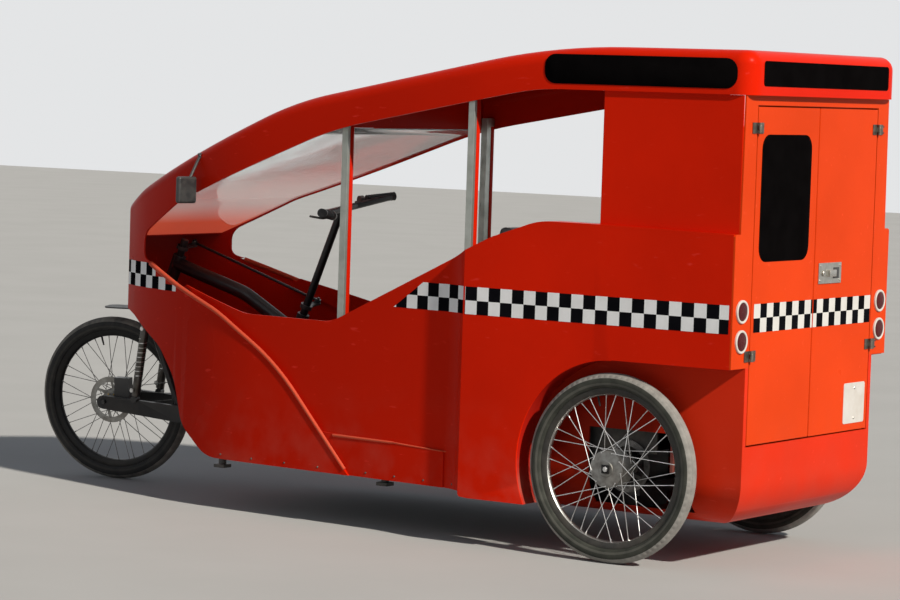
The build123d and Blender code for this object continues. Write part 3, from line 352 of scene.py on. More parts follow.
def plain(name, color, rough, metal=0.0, coat=0.0, gloss=0.5, scale=30.0, shade=None, bump=0.06, edge=None,
          dust=0.0):
    """A general finish: mottled colour, fine bump, worn edges and dust low down."""
    made = Material(name, color, rough, metal, coat, gloss)
    mixed = made.vary(scale, shade or shaded(color, 0.7))
    if edge:
        mixed = made.mix(made.edge_mask(), mixed, edge)
        made.set("Base Color", mixed)
    if dust:
        made.dirty(mixed, dust, 0.05, 0.6)
    made.bump(made.noise(scale * 12, 3.0), bump, 0.0006)
    return made.data


def metal(name, color, rough, shade, scale, **more):
    return plain(name, color, rough, 1.0, shade=shade, scale=scale, **more)


black_metal = plain("black_metal", (0.012, 0.012, 0.014), 0.40, coat=0.05, gloss=0.3, edge=(0.06, 0.06, 0.06),
                    dust=0.12)
steel = metal("steel", (0.55, 0.55, 0.54), 0.28, (0.34, 0.33, 0.31), 45, dust=0.35)
alloy = metal("alloy", (0.60, 0.60, 0.58), 0.36, (0.42, 0.41, 0.39), 24, bump=0.1, dust=0.3)
dark_steel = plain("dark_steel", (0.10, 0.095, 0.09), 0.42, 0.8, shade=(0.05, 0.045, 0.04), scale=40,
                   dust=0.4)
dull_alloy = metal("dull_alloy", (0.26, 0.26, 0.25), 0.5, (0.13, 0.125, 0.115), 40, bump=0.15, dust=0.4)
zinc = metal("zinc", (0.62, 0.61, 0.57), 0.33, (0.45, 0.43, 0.38), 35)
hinge_zinc = metal("hinge_zinc", (0.24, 0.215, 0.18), 0.45, (0.10, 0.085, 0.07), 60)
pole_alloy = plain("pole_alloy", (0.42, 0.44, 0.41), 0.42, 0.75, shade=(0.30, 0.32, 0.29), scale=18)
black_plastic = plain("black_plastic", (0.020, 0.020, 0.021), 0.45, shade=(0.035, 0.034, 0.033), scale=50,
                      bump=0.15, dust=0.35)
sign_black = plain("sign_black", (0.0035, 0.0030, 0.0032), 0.5, gloss=0.0, scale=14, bump=0.02)
rim_black = plain("rim_black", (0.007, 0.007, 0.008), 0.45, gloss=0.2, scale=40, dust=0.08)
rim_dark = plain("rim_dark", (0.035, 0.034, 0.031), 0.5, gloss=0.3, shade=(0.02, 0.019, 0.017), scale=40,
                 dust=0.2)
bright_spoke = metal("bright_spoke", (0.70, 0.70, 0.70), 0.35, (0.45, 0.45, 0.44), 60)
dark_spoke = metal("dark_spoke", (0.16, 0.155, 0.15), 0.42, (0.08, 0.078, 0.075), 60)
brass = metal("brass", (0.46, 0.33, 0.13), 0.40, (0.22, 0.14, 0.06), 50, dust=0.3)
spring_steel = metal("spring_steel", (0.62, 0.62, 0.60), 0.35, (0.35, 0.34, 0.32), 50, dust=0.1)
rubber = plain("rubber", (0.016, 0.016, 0.017), 0.7, scale=60, bump=0.3)
white_plastic = plain("white_plastic", (0.60, 0.585, 0.56), 0.35, gloss=0.2, scale=20,
                      shade=(0.52, 0.49, 0.45))
white_film = plain("white_film", (0.82, 0.83, 0.85), 0.40, gloss=0.1, scale=16, shade=(0.74, 0.75, 0.76))
# A darker copy of the white film for the rear squares: painted shade against the stronger light there.
rear_film_shaded = plain("rear_film_shaded", (0.62, 0.61, 0.59), 0.40, gloss=0.1, scale=16, shade=(0.56, 0.55, 0.53))
black_film = plain("black_film", (0.006, 0.006, 0.008), 0.45, gloss=0.0, scale=16)
board = plain("board", (0.16, 0.018, 0.012), 0.6, scale=12, bump=0.2, dust=0.4)
floor_black = plain("floor_black", (0.03, 0.03, 0.03), 0.7, scale=60, bump=0.5, dust=0.7)


def tyre_material(name, color, worn, amount):
    made = Material(name, color, 0.78, gloss=0.3)
    cloud = made.ramp(made.noise(26.0, 6.0), 0.0, 1.0, 0.35, 0.68)
    made.set("Base Color", made.mix(made.times(cloud, amount), color, worn))
    made.bump(made.noise(300.0, 4.0), 0.25, 0.0006)
    return made.data


rear_tread = tyre_material("rear_tread", (0.20, 0.192, 0.178), (0.29, 0.28, 0.26), 0.9)
rear_wall = tyre_material("rear_wall", (0.022, 0.024, 0.019), (0.055, 0.056, 0.046), 0.7)
rear_ring = tyre_material("rear_ring", (0.060, 0.060, 0.052), (0.10, 0.10, 0.085), 0.7)
front_ring = tyre_material("front_ring", (0.030, 0.029, 0.027), (0.060, 0.056, 0.050), 0.6)
front_tread = tyre_material("front_tread", (0.10, 0.097, 0.09), (0.25, 0.23, 0.20), 0.9)
front_wall = tyre_material("front_wall", (0.014, 0.014, 0.015), (0.045, 0.043, 0.040), 0.5)


# The screen is clear at its rear edge, and hazes over towards the nose, where it also has a painted glow.
HAZE_X = (0.45, 0.90)
PAINTED_GLOW = 0.30


def screen_material():
    sheet = Material("clear_sheet", (0.93, 0.95, 0.95), 0.05)
    place = sheet.along("X")
    # A pale tint that turns orange towards the nose colours the sheet and makes it glow: painted light, since
    # the sheet is no lamp.
    glow_tint = sheet.mix(sheet.ramp(place, 0.0, 1.0, 0.80, 0.93), (0.66, 0.54, 0.51), (0.72, 0.15, 0.08))
    near = sheet.ramp(place, 0.0, 1.0, 0.45, 0.80)
    sheet.set("Base Color", sheet.mix(near, sheet.color, glow_tint))
    sheet.set("Emission Color", glow_tint)
    sheet.set("Emission Strength", sheet.ramp(place, 0.0, PAINTED_GLOW, *HAZE_X))
    sheet.set("Transmission Weight", sheet.ramp(place, 0.95, 0.30, *HAZE_X))
    sheet.set("IOR", 1.46)
    sheet.set("Roughness", sheet.ramp(sheet.noise(7.0, 5.0), 0.03, 0.14, 0.4, 0.75))
    sheet.bump(sheet.noise(3.0, 1.0), 0.10, 0.004)
    return sheet.data


clear_sheet = screen_material()


def vinyl(name, color):
    made = Material(name, color, 0.42)
    made.vary(14.0, shaded(color, 1.7, 0.004))
    made.bump(made.cells(420.0, feature="DISTANCE_TO_EDGE"), 0.35, 0.0006)
    made.bump(made.noise(22.0, 3.0), 0.20, 0.0025)
    made.set("Sheen Weight", 0.08)
    return made.data


seat_vinyl = vinyl("seat_vinyl", (0.022, 0.022, 0.025))
thread = plain("thread", (0.10, 0.10, 0.10), 0.8, scale=90)


def lens_material():
    lens = Material("lamp_red", (0.07, 0.003, 0.004), 0.2, gloss=0.15)
    lens.bump(lens.cells(260.0), 0.5, 0.0015)
    lens.vary(60.0, (0.05, 0.002, 0.004), rough_by=0.03)
    return lens.data


lamp_red = lens_material()


def mirror_material():
    glass = Material("mirror_glass", (0.75, 0.78, 0.80), 0.04, 1.0)
    glass.set("Roughness", glass.ramp(glass.noise(30.0, 4.0), 0.02, 0.12, 0.4, 0.75))
    return glass.data


mirror_glass = mirror_material()

def pairs(*names):
    return [f"{side}_{name}" for name in names for side, sign in SIDES]


# The CAD nodes keep their shape and take these finishes.
FINISH = {
    red: ["roof", "nose_fairing", *pairs("hoop", "front_panel", "rear_panel", "cabin_side")],
    red_rear: ["rear_surround", *pairs("door")],
    red_tub: ["rear_tub"],
    red_inner_shaded: ["front_housing", *pairs("wheel_housing")],
    floor_black: ["floor_pan", "bench_base"],
    clear_sheet: ["windscreen"],
    pole_alloy: pairs("pillars"),
    black_metal: ["frame", "rear_axle_beam", "front_fork", "swing_arm", "handlebar", "steering_rod"],
    dark_steel: ["gear_hub", "crank", "front_dampers"],
    black_plastic: ["front_mudguard", "battery_box", "jack_pads", "mirror", "head_lamp"],
    hinge_zinc: pairs("door_hinges", "leaf_hinges"),
    zinc: ["door_latch"],
    board: ["luggage_wall"],
}
BEVELS = {"windscreen": 0.0008, "floor_pan": 0.001}


CREASE = radians(18)


def soft_normals():
    """Shades a mesh smooth, and keeps its sharper edges."""
    group = bpy.data.node_groups.new("soft_normals", "GeometryNodeTree")
    for way in ("INPUT", "OUTPUT"):
        group.interface.new_socket("Geometry", in_out=way, socket_type="NodeSocketGeometry")
    angle = add_node(group, "GeometryNodeInputMeshEdgeAngle").outputs["Unsigned Angle"]
    wide = add_node(group, "FunctionNodeCompare", {0: angle, 1: CREASE}, operation="GREATER_THAN").outputs[0]
    made = add_node(group, "NodeGroupInput")
    for kind, inputs, settings in (
            ("RemoveAttribute", {"Name": "custom_normal"}, {}), ("SetShadeSmooth", {}, {}),
            ("SetShadeSmooth", {}, {"domain": "EDGE"}),
            ("SetShadeSmooth", {"Selection": wide, "Shade Smooth": False}, {"domain": "EDGE"})):
        made = add_node(group, "GeometryNode" + kind, {"Geometry": made.outputs[0], **inputs}, **settings)
    add_node(group, "NodeGroupOutput", {0: made.outputs[0]})
    return group


WELD = 0.00002
soft = soft_normals()
for material, names in FINISH.items():
    for name in names:
        node = frame["nodes"][name]
        node.data.materials.clear()
        node.data.materials.append(material)
        node.modifiers.new("weld", "WELD").merge_threshold = WELD
        bevel = node.modifiers.new("edge", "BEVEL")
        bevel.width = BEVELS.get(name, 0.0015)
        bevel.segments = 2
        bevel.limit_method = "ANGLE"
        bevel.angle_limit = radians(40)
        node.modifiers.new("soft", "NODES").node_group = soft


def surface(*names):
    """A search tree over some CAD nodes, to lay thin pieces on them."""
    verts, faces = [], []
    for name in names:
        mesh = frame["nodes"][name].data
        start = len(verts)
        verts += [v.co.copy() for v in mesh.vertices]
        faces += [[start + i for i in p.vertices] for p in mesh.polygons]
    return BVHTree.FromPolygons(verts, faces)


FAR_LEFT = 1.0


def from_left(skin, station, z):
    """Where a line from the far left meets a surface, with the direction that it faces there."""
    return skin.ray_cast(at(station, FAR_LEFT, z), -Y)


# Wheels
RIM_SEAT_R = 0.254
RIM_INNER_R = 0.234
RIM_HALF = 0.015
TYRE_R = 0.027
WHEEL_R = 0.305
SPOKE_R = 0.0013
FLANGE_Y = 0.033


def wheel_matrix(joint_name):
    """Moves a wheel built about y at the origin to its hub and axis."""
    joint = joints[joint_name]
    axis = Vector(joint["axis"]).normalized()
    up = Vector((0, 0, 1))
    forward = axis.cross(up).normalized()
    up = forward.cross(axis)
    turn = Matrix((forward, axis, up)).transposed().to_4x4()
    return Matrix.Translation(Vector(joint["pos_m"])) @ turn


TYRE_ACROSS = 44
TYRE_SEGMENTS = 352
TREAD_EDGE, SHOULDER = radians(58), radians(36)
GROOVES = (radians(14), radians(34))
GROOVE_HALF = radians(5)
GROOVE_DEPTH, NOTCH_DEPTH = 0.0016, 0.0018
# Steps round the tyre's section that are tread and a paler ring; the rest is wall.
TREAD_STEPS = 8
RING_STEPS = (12, 13)


def tyre_mesh():
    """A city tyre: a round section with grooves, and notches on the shoulders."""
    verts = []
    for i in range(TYRE_SEGMENTS):
        for k in range(TYRE_ACROSS):
            angle = pi * 2 * k / TYRE_ACROSS
            left = angle < pi
            tread = angle if left else 2 * pi - angle
            depth = 0.0
            if tread < TREAD_EDGE:
                if min(abs(tread - groove) for groove in GROOVES) < GROOVE_HALF:
                    depth = GROOVE_DEPTH
                if tread > SHOULDER and (i + (2 if left else 0)) % 4 == 0:
                    depth = NOTCH_DEPTH
            y = (TYRE_R - depth) * sin(angle)
            radius = WHEEL_R - TYRE_R + (TYRE_R - depth) * cos(angle)
            if radius < RIM_SEAT_R + 0.004:
                y = max(-RIM_HALF + 0.001, min(RIM_HALF - 0.001, y))
                radius = max(radius, RIM_SEAT_R - 0.003)
            verts.append(polar(radius, 2 * pi * i / TYRE_SEGMENTS, y))
    return verts, ring_faces(TYRE_SEGMENTS, TYRE_ACROSS, looped=True)


# The rim's section from its bed over one flange to its inner wall, then mirrored
RIM_SIDE = [
    (RIM_SEAT_R - 0.008, 0.006), (RIM_SEAT_R - 0.004, RIM_HALF - 0.003),
    (RIM_SEAT_R + 0.003, RIM_HALF - 0.002), (RIM_SEAT_R + 0.003, RIM_HALF),
    (RIM_INNER_R + 0.010, RIM_HALF), (RIM_INNER_R + 0.004, RIM_HALF - 0.005), (RIM_INNER_R, 0.005),
]
RIM_PROFILE = RIM_SIDE + [(r, -y) for r, y in RIM_SIDE[::-1]]
# The stretches of the section that are the inner wall
RIM_WALL = range(5, 8)
DISC_ARMS = 6
DISC_HALF = 0.001


def brake_disc(y, radius, inner):
    """A vented brake disc: a band joined to its hub by slanted arms."""
    shape = Shape()
    band = radius * 0.76
    for outside, inside, segments in ((radius, band, 96), (inner + 0.012, inner - 0.002, 48)):
        section = [(outside, -DISC_HALF), (outside, DISC_HALF), (inside, DISC_HALF), (inside, -DISC_HALF)]
        shape.add(*lathe(section, segments))
    start = Vector((inner + 0.006, 0, 0))
    end = Matrix.Rotation(radians(28), 4, "Y") @ Vector((band + 0.003, 0, 0))
    side = (end - start).cross(Y).normalized() * 0.005
    for i in range(DISC_ARMS):
        arm = prism([start - side, start + side, end + side, end - side], Y * DISC_HALF)
        shape.add(*arm, 0, Matrix.Rotation(2 * pi * i / DISC_ARMS, 4, "Y"))
    return [v + Y * y for v in shape.verts], shape.faces


SPOKES_A_SIDE = 18
SPOKE_TURN = radians(62)
# Slots of a wheel's materials
WALL, SPOKE, HUB, DARK, RIM, BRASS, DISC = range(7)


def spokes(shape, flange_r):
    """Crossed spokes from two flanges to the rim, with elbows and nipples."""
    for side in (-1, 1):
        for i in range(SPOKES_A_SIDE):
            outside = 1 if i % 2 else -1
            hub_angle = 2 * pi * (i + (0.5 if side > 0 else 0)) / SPOKES_A_SIDE
            head = polar(flange_r - 0.005, hub_angle, side * (FLANGE_Y + outside * 0.0035))
            rim = polar(RIM_INNER_R, hub_angle + outside * SPOKE_TURN, side * 0.004)
            line = (rim - head).normalized()
            shape.add(*sweep([head, rim], SPOKE_R, 6), SPOKE)
            shape.add(*disc(head - Y * side * 0.0012, head + Y * side * 0.0016, 0.0024, 8), SPOKE)
            shape.add(*sweep([rim - line * 0.011, rim + line * 0.002], [0.0017, 0.0021], 8), SPOKE)


def wheel(name, joint, body, finishes, flange_r, barrel_r, disc_y, disc_r, cap=False):
    """Tread and wires of one wheel, in place of its CAD tyre and wheel."""
    place = wheel_matrix(joint)
    ring = Shape()
    ring.add(*tyre_mesh())
    for i in range(len(ring.faces)):
        step = min(i % TYRE_ACROSS, TYRE_ACROSS - 1 - i % TYRE_ACROSS)
        ring.slots[i] = 0 if step < TREAD_STEPS else 2 if step in RING_STEPS else 1
    tyre_name = name.replace("wheel", "tyre")
    tyre_piece = ring.build(tyre_name + "_tread", body, "tyre_rubber", finishes["tyre"], 30, place)
    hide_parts(tyre_name)
    shape = Shape()
    verts, faces = lathe(RIM_PROFILE, 144)
    for slot in (RIM, WALL):
        shown = [face for i, face in enumerate(faces) if (i % len(RIM_PROFILE) in RIM_WALL) == (slot == WALL)]
        shape.add(verts, shown, slot)
    spokes(shape, flange_r)
    inner, outer, face_y = FLANGE_Y - 0.002, FLANGE_Y + 0.002, FLANGE_Y + 0.007
    hub = [(barrel_r * 0.62, -0.016), (barrel_r * 0.58, 0.0), (barrel_r * 0.62, 0.016), (barrel_r, 0.024),
           (flange_r * 0.80, inner), (flange_r, inner), (flange_r, outer), (flange_r * 0.82, outer),
           (barrel_r, FLANGE_Y + 0.004), (barrel_r * 0.9, face_y), (0.004, face_y)]
    shape.add(*lathe([(r, -y) for r, y in hub[:2:-1]] + hub, 64, closed=False), HUB)
    shape.add(*brake_disc(disc_y, disc_r, 0.024), DISC)
    disc_side = 1 if disc_y > 0 else -1
    low, high = sorted((disc_y, FLANGE_Y * disc_side))
    shape.add(*disc(Y * low, Y * high, barrel_r, 32, 0.001), HUB)
    for i in range(DISC_ARMS):
        spot = polar(0.022, 2 * pi * i / DISC_ARMS, disc_y)
        shape.add(*hexagon(spot, spot + Y * disc_side * 0.003, 0.0035), BRASS)
    if cap:
        out = Y * -disc_side
        face = out * face_y
        low, high = sorted((face.y, face.y - disc_side * 0.004))
        shape.add(*block((-0.014, low, -0.014), (0.014, high, 0.014), 0.002), DARK)
        shape.add(*hexagon(face + out * 0.003, face + out * 0.0055, 0.009), SPOKE)
        shape.add(*disc(face + out * 0.005, face + out * 0.0068, 0.005, 16, 0.0008), SPOKE)
    valve = [polar(RIM_INNER_R + out, radians(75)) for out in (0.004, -0.014, -0.032)]
    shape.add(*sweep(valve, [0.0038, 0.0036, 0.0030], 10), DARK)
    wires = [finishes["wall"], finishes["spoke"], dull_alloy, rim_black, finishes["rim"], brass,
             finishes["disc"]]
    piece = shape.build(name + "_wires", body, "wheel_steel", wires, 40, place)
    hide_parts(name)


REAR_DISC_Y = 0.093
REAR_FINISH = {"tyre": [rear_tread, rear_wall, rear_ring], "wall": alloy, "spoke": bright_spoke,
               "rim": rim_dark, "disc": dark_spoke}
FRONT_FINISH = {"tyre": [front_tread, front_wall, front_ring], "wall": rim_black, "spoke": dark_spoke,
                "rim": rim_black, "disc": dull_alloy}
for side, sign in SIDES:
    wheel(f"{side}_rear_wheel", f"rear_{side}_spin", f"rear_{side}_wheel", REAR_FINISH, flange_r=0.060,
          barrel_r=0.026, disc_y=-sign * REAR_DISC_Y, disc_r=0.085, cap=True)
wheel("front_wheel", "front_wheel_spin", "front_wheel", FRONT_FINISH, flange_r=0.040, barrel_r=0.020,
      disc_y=0.044, disc_r=0.086)


def rear_shafts():
    """The stub shafts that carry the rear wheels in their bearings."""
    for side, sign in SIDES:
        hub = Vector(joints[f"rear_{side}_spin"]["pos_m"])
        low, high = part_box(f"{side}_rear_wheel")
        inner = Vector((hub.x, low.y if sign > 0 else high.y, hub.z))
        shape = Shape()
        shape.add(*disc(inner, hub - Y * sign * REAR_DISC_Y, 0.010, 24, 0.001))
        shape.build(f"{side}_rear_shaft", f"rear_{side}_wheel", "wheel_steel", [steel])


rear_shafts()


# Checker bands
SQUARE = 0.045
BAND_LOW = 0.763
SKIN_LIFT = 0.0006
# A square is laid in steps across and up, so that it follows a curved surface.
STEPS_ACROSS, STEPS_UP = 4, 2


def lay_grid(stations, heights, skin, cut):
    """A band of black and white squares laid on a surface seen from the left."""
    shape = Shape()
    for i, (x, x2) in enumerate(zip(stations, stations[1:])):
        for j, (z, z2) in enumerate(zip(heights, heights[1:])):
            for a in range(STEPS_ACROSS):
                for b in range(STEPS_UP):
                    quad = cut([(x + (x2 - x) * u / STEPS_ACROSS, z + (z2 - z) * v / STEPS_UP)
                                for u, v in ((a, b), (a + 1, b), (a + 1, b + 1), (a, b + 1))])
                    hits = [from_left(skin, *spot) for spot in quad]
                    if len(hits) > 2 and all(hit[0] for hit in hits):
                        points = [hit[0] + hit[1] * SKIN_LIFT for hit in hits]
                        shape.add(points, [tuple(range(len(points)))], (i + j) % 2)
    return shape


def clip(points, inside, cross):
    """Cuts a polygon by a line: keeps the points that are inside."""
    kept = []
    for i, here in enumerate(points):
        there = points[(i + 1) % len(points)]
        if inside(here):
            kept.append(here)
        if inside(here) != inside(there):
            kept.append(cross(here, there))
    return kept


def clip_line(start, end):
    """A cutter that keeps what is to the left of the line from start to end."""
    def signed(p):
        return (end[0] - start[0]) * (p[1] - start[1]) - (end[1] - start[1]) * (p[0] - start[0])

    def cross(p, q):
        a, b = signed(p), signed(q)
        t = a / (a - b)
        return (p[0] + (q[0] - p[0]) * t, p[1] + (q[1] - p[1]) * t)

    return lambda quad: clip(quad, lambda p: signed(p) >= 0, cross)


def both_sides(shape, name, slot, materials):
    """The left piece and its mirror image on the right."""
    for side, sign in SIDES:
        shape.build(f"{side}_{name}", "chassis", slot, materials, sharp=60, matrix=Matrix.Scale(sign, 4, Y))


# Columns: name, first station, squares along, foot, ends of the slanted cut, whose left is kept.
BANDS = [
    ("side_checks", 0.002, 30, BAND_LOW, (1.318, BAND_LOW), (1.194, BAND_LOW + 2 * SQUARE)),
    ("nose_checks", 2.275, 11, 0.746, (2.535, 0.836), (2.335, 0.772)),
]
REAR_SQUARES = 19
REAR_PITCH = 0.811 / REAR_SQUARES
REAR_BAND_Y = 0.399
LEAF_SEAM = 0.0035


def checker_bands():
    skin = surface("left_rear_panel", "left_front_panel", "nose_fairing")
    for name, first, count, foot, start, end in BANDS:
        stations = [first + SQUARE * i for i in range(count + 1)]
        heights = [foot + SQUARE * i for i in range(3)]
        band = lay_grid(stations, heights, skin, clip_line(start, end))
        both_sides(band, name, "black_plastic", [black_film, white_film])
    for side, sign in SIDES:
        half = Shape()
        for i in range(REAR_SQUARES):
            for j in range(2):
                y, z = REAR_BAND_Y - i * REAR_PITCH, BAND_LOW + j * SQUARE
                quad = [Vector((REAR_X - SKIN_LIFT, y - u * REAR_PITCH, z + v * SQUARE))
                        for u, v in ((0, 0), (1, 0), (1, 1), (0, 1))]
                quad = clip(quad, lambda p: p.y * sign >= LEAF_SEAM,
                            lambda p, q: p.lerp(q, (sign * LEAF_SEAM - p.y) / (q.y - p.y)))
                if len(quad) > 2:
                    half.add(quad, [tuple(range(len(quad)))], (i + j) % 2)
        half.build(f"{side}_rear_checks", f"{side}_door", "black_plastic", [black_film, rear_film_shaded])


checker_bands()


# Blank signs and plates
PANEL_RIM = 0.0006


def rounded_panel(width, height, radius, thick, place):
    """A flat panel with round corners in the y z plane, its face to -x, set in its place."""
    outline = []
    for cy, cz, start in ((1, 1, 0), (-1, 1, 90), (-1, -1, 180), (1, -1, 270)):
        for k in range(7):
            turn = radians(start + 15 * k)
            outline.append((cy * (width / 2 - radius) + radius * cos(turn),
                            cz * (height / 2 - radius) + radius * sin(turn)))
    count = len(outline)
    in_y, in_z = 1 - PANEL_RIM * 2 / width, 1 - PANEL_RIM * 2 / height
    verts = [Vector((-thick, y * in_y, z * in_z)) for y, z in outline]
    for x in (PANEL_RIM - thick, 0):
        verts += [Vector((x, y, z)) for y, z in outline]
    faces = [tuple(range(count)), tuple(range(2 * count, 3 * count))]
    shape = Shape()
    shape.add(verts, faces + ring_faces(3, count), 0, place)
    return shape


SIGN_T = 0.0018
PLATE_T = 0.0016
PLATE_Y, PLATE_Z = -0.320, 0.498


def signs():
    door = rounded_panel(0.333, 0.400, 0.045, SIGN_T, Matrix.Translation(at(0, 0.2165, 1.184)))
    door.build("door_sign", "left_door", "black_plastic", [sign_black])
    edge = rounded_panel(0.868, 0.079, 0.012, SIGN_T, Matrix.Translation((LIP_X, 0, 1.5735)))
    edge.build("roof_rear_sign", "chassis", "black_plastic", [sign_black])
    place = Matrix.Translation(at(0.380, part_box("left_hoop")[1].y, 1.5705)) @ Matrix.Rotation(-pi / 2, 4, "Z")
    both_sides(rounded_panel(0.704, 0.095, 0.040, SIGN_T, place), "roof_sign", "black_plastic", [sign_black])
    plate = rounded_panel(0.151, 0.135, 0.008, PLATE_T, Matrix.Translation(at(0, PLATE_Y, PLATE_Z)))
    for z in (PLATE_Z - 0.05, PLATE_Z + 0.05):
        plate.add(*disc(at(-0.0036, PLATE_Y, z), at(0, PLATE_Y, z), 0.0045, 16, 0.0008), 1)
    plate.build("number_plate", "right_door", "black_plastic", [white_plastic, zinc])


signs()


# Tail lamps: a white ring round a red lens, as shares of its radius and depth
LAMP_RING = [(1, 0), (1, 0.70), (0.97, 0.92), (0.92, 1), (0.86, 0.98), (0.80, 0.80), (0.78, 0)]
LAMP_LENS = [(0.79, 0.5), (0.75, 0.82), (0.54, 0.97), (0.25, 1.02), (0.01, 1.03)]


def tail_lamps():
    for side in ("left", "right"):
        low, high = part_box(f"{side}_tail_lamps")
        y = (low.y + high.y) / 2
        radius = (high.y - low.y) / 2
        depth = high.x - low.x
        shape = Shape()
        for z in (low.z + radius, high.z - radius):
            place = Matrix.Translation((high.x, y, z)) @ Matrix.Rotation(pi / 2, 4, "Z")
            for slot, profile in enumerate((LAMP_RING, LAMP_LENS)):
                section = [(radius * r, depth * along) for r, along in profile]
                shape.add(*lathe(section, 48, closed=False), slot, place)
        piece = shape.build(f"{side}_tail_lamp_rings", "chassis", "lamp_lens", [white_plastic, lamp_red])
        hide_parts(f"{side}_tail_lamps")


tail_lamps()

# Chain links
CHAIN_HALF = 0.0045
CHAIN_PITCH = 0.0127
LINK_R = 0.0040
ARC_STEPS = 30


def chain_links():
    """Links round the chain ring and the rear sprocket, on the loop that the CAD chain follows."""
    crank = Vector(joints["crank_spin"]["pos_m"])
    low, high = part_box("chain")
    y = (low.y + high.y) / 2
    front_r = high.x - crank.x - CHAIN_HALF
    gear_x = sum(v.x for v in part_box("gear_hub")) / 2
    rear_r = gear_x - low.x - CHAIN_HALF
    front = Vector((crank.x, y, crank.z))
    rear = Vector((gear_x, y, low.z + rear_r + CHAIN_HALF))
    span = front - rear
    angle = atan2(span.z, span.x)
    lean = acos((front_r - rear_r) / span.length)
    loop = []
    for centre, radius, start, turn in ((front, front_r, angle + lean, -2 * lean),
                                        (rear, rear_r, angle - lean, 2 * lean - 2 * pi)):
        loop += [centre + polar(radius, start + turn * i / ARC_STEPS) for i in range(ARC_STEPS + 1)]
    loop.append(loop[0])
    lengths = [0.0]
    for a, b in zip(loop, loop[1:]):
        lengths.append(lengths[-1] + (b - a).length)
    count = round(lengths[-1] / CHAIN_PITCH / 2) * 2

    def along(share):
        distance = share % 1 * lengths[-1]
        i = next(k for k in range(len(loop) - 1) if lengths[k + 1] >= distance)
        return loop[i].lerp(loop[i + 1], (distance - lengths[i]) / max(lengths[i + 1] - lengths[i], 1e-9))

    shape = Shape()
    for i in range(count):
        a, b = along(i / count), along((i + 1) / count)
        direction = (b - a).normalized()
        up = Y.cross(direction)
        for side in (-1, 1):
            base = Y * side * (0.0028 if i % 2 else 0.0016)
            outline = []
            for centre, start in ((b, -90), (a, 90)):
                for k in range(5):
                    turn = radians(start + 45 * k)
                    outline.append(centre + base + (direction * cos(turn) + up * sin(turn)) * LINK_R)
            shape.add(*prism(outline, Y * 0.0005))
        shape.add(*disc(a - Y * 0.0034, a + Y * 0.0034, 0.0024, 8))
    piece = shape.build("chain_links", "chassis", "chain_steel", [dark_steel])
    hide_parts("chain")


chain_links()


# Seats
PRESSURE = 4.0
SWELL_FRAMES = 20
PAD_MARGIN = 0.0005


def swell(piece, rest, low, high, flat, cap):
    """Fills a pad by a cloth simulation, held where it rests, and keeps it within its place."""
    group = piece.vertex_groups.new(name="held")
    group.add([i for i, co in enumerate(rest) if flat(co)], 1.0, "REPLACE")
    cloth = piece.modifiers.new("cloth", "CLOTH")
    settings = cloth.settings
    settings.vertex_group_mass = "held"
    settings.use_pressure = True
    settings.uniform_pressure_force = PRESSURE
    settings.effector_weights.gravity = 0.0
    settings.quality = 4
    settings.bending_stiffness = 1.5
    cloth.collision_settings.use_collision = False
    for number in range(1, SWELL_FRAMES + 1):
        scene.frame_set(number)
    done = piece.evaluated_get(bpy.context.evaluated_depsgraph_get())
    swollen = [vert.co.copy() for vert in done.data.vertices]
    piece.modifiers.remove(cloth)
    scene.frame_set(1)
    for vert, start, end in zip(piece.data.vertices, rest, swollen):
        move = end - start
        if move.length > cap:
            move *= cap / move.length
        vert.co = [min(max((start + move)[i], low[i] + PAD_MARGIN), high[i] - PAD_MARGIN) for i in range(3)]


def pad(name, flat, fill, voxel, inset, cap):
    """A padded piece made from a CAD node's form, a little smaller and then swollen."""
    node = frame["nodes"][name]
    low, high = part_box(name)
    raw = place_object("raw", node.data.copy())
    remesh = raw.modifiers.new("remesh", "REMESH")
    remesh.mode = "VOXEL"
    remesh.voxel_size = voxel
    smaller = raw.modifiers.new("smaller", "DISPLACE")
    smaller.strength = -inset
    smaller.mid_level = 0.0
    even = raw.modifiers.new("even", "SMOOTH")
    even.iterations = 6
    mesh = bpy.data.meshes.new_from_object(raw.evaluated_get(bpy.context.evaluated_depsgraph_get()))
    bpy.data.objects.remove(raw)
    piece = place_object(name + "_pad", mesh)
    rest = [vert.co.copy() for vert in mesh.vertices]
    swell(piece, rest, low, high, flat, cap)
    mesh.materials.clear()
    mesh.materials.append(seat_vinyl)
    mesh.shade_smooth()
    fine = piece.modifiers.new("fine", "SUBSURF")
    fine.levels = fine.render_levels = 1
    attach(piece, "chassis")
    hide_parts(name)
    return piece


def welt(name, piece, corners):
    """Piping laid round a pad, on the nearest points of its cover."""
    mesh = piece.data
    tree = BVHTree.FromPolygons([v.co for v in mesh.vertices], [p.vertices for p in mesh.polygons])
    line = []
    for start, end in zip(corners, corners[1:] + corners[:1]):
        count = max(2, int((Vector(end) - Vector(start)).length / 0.02))
        line += [Vector(start).lerp(Vector(end), i / count) for i in range(count)]
    line = [tree.find_nearest(point)[0] for point in line]
    for _ in range(4):
        line = [(a + b * 2 + c) / 4 for a, b, c in zip(line[-1:] + line[:-1], line, line[1:] + line[:1])]
    shape = Shape()
    shape.add(*sweep(line + line[:1], 0.0035, 8, ends=False))
    shape.build(name, "chassis", "seat_vinyl", [thread])


# How far up a pad is held, and how it is made: its voxels, how much smaller, and the most it swells
BENCH_HELD, SEAT_HELD = 0.016, 0.012
BENCH_PAD = {"voxel": 0.008, "inset": 0.009, "cap": 0.016}
SEAT_PAD = {"voxel": 0.006, "inset": 0.005, "cap": 0.012}


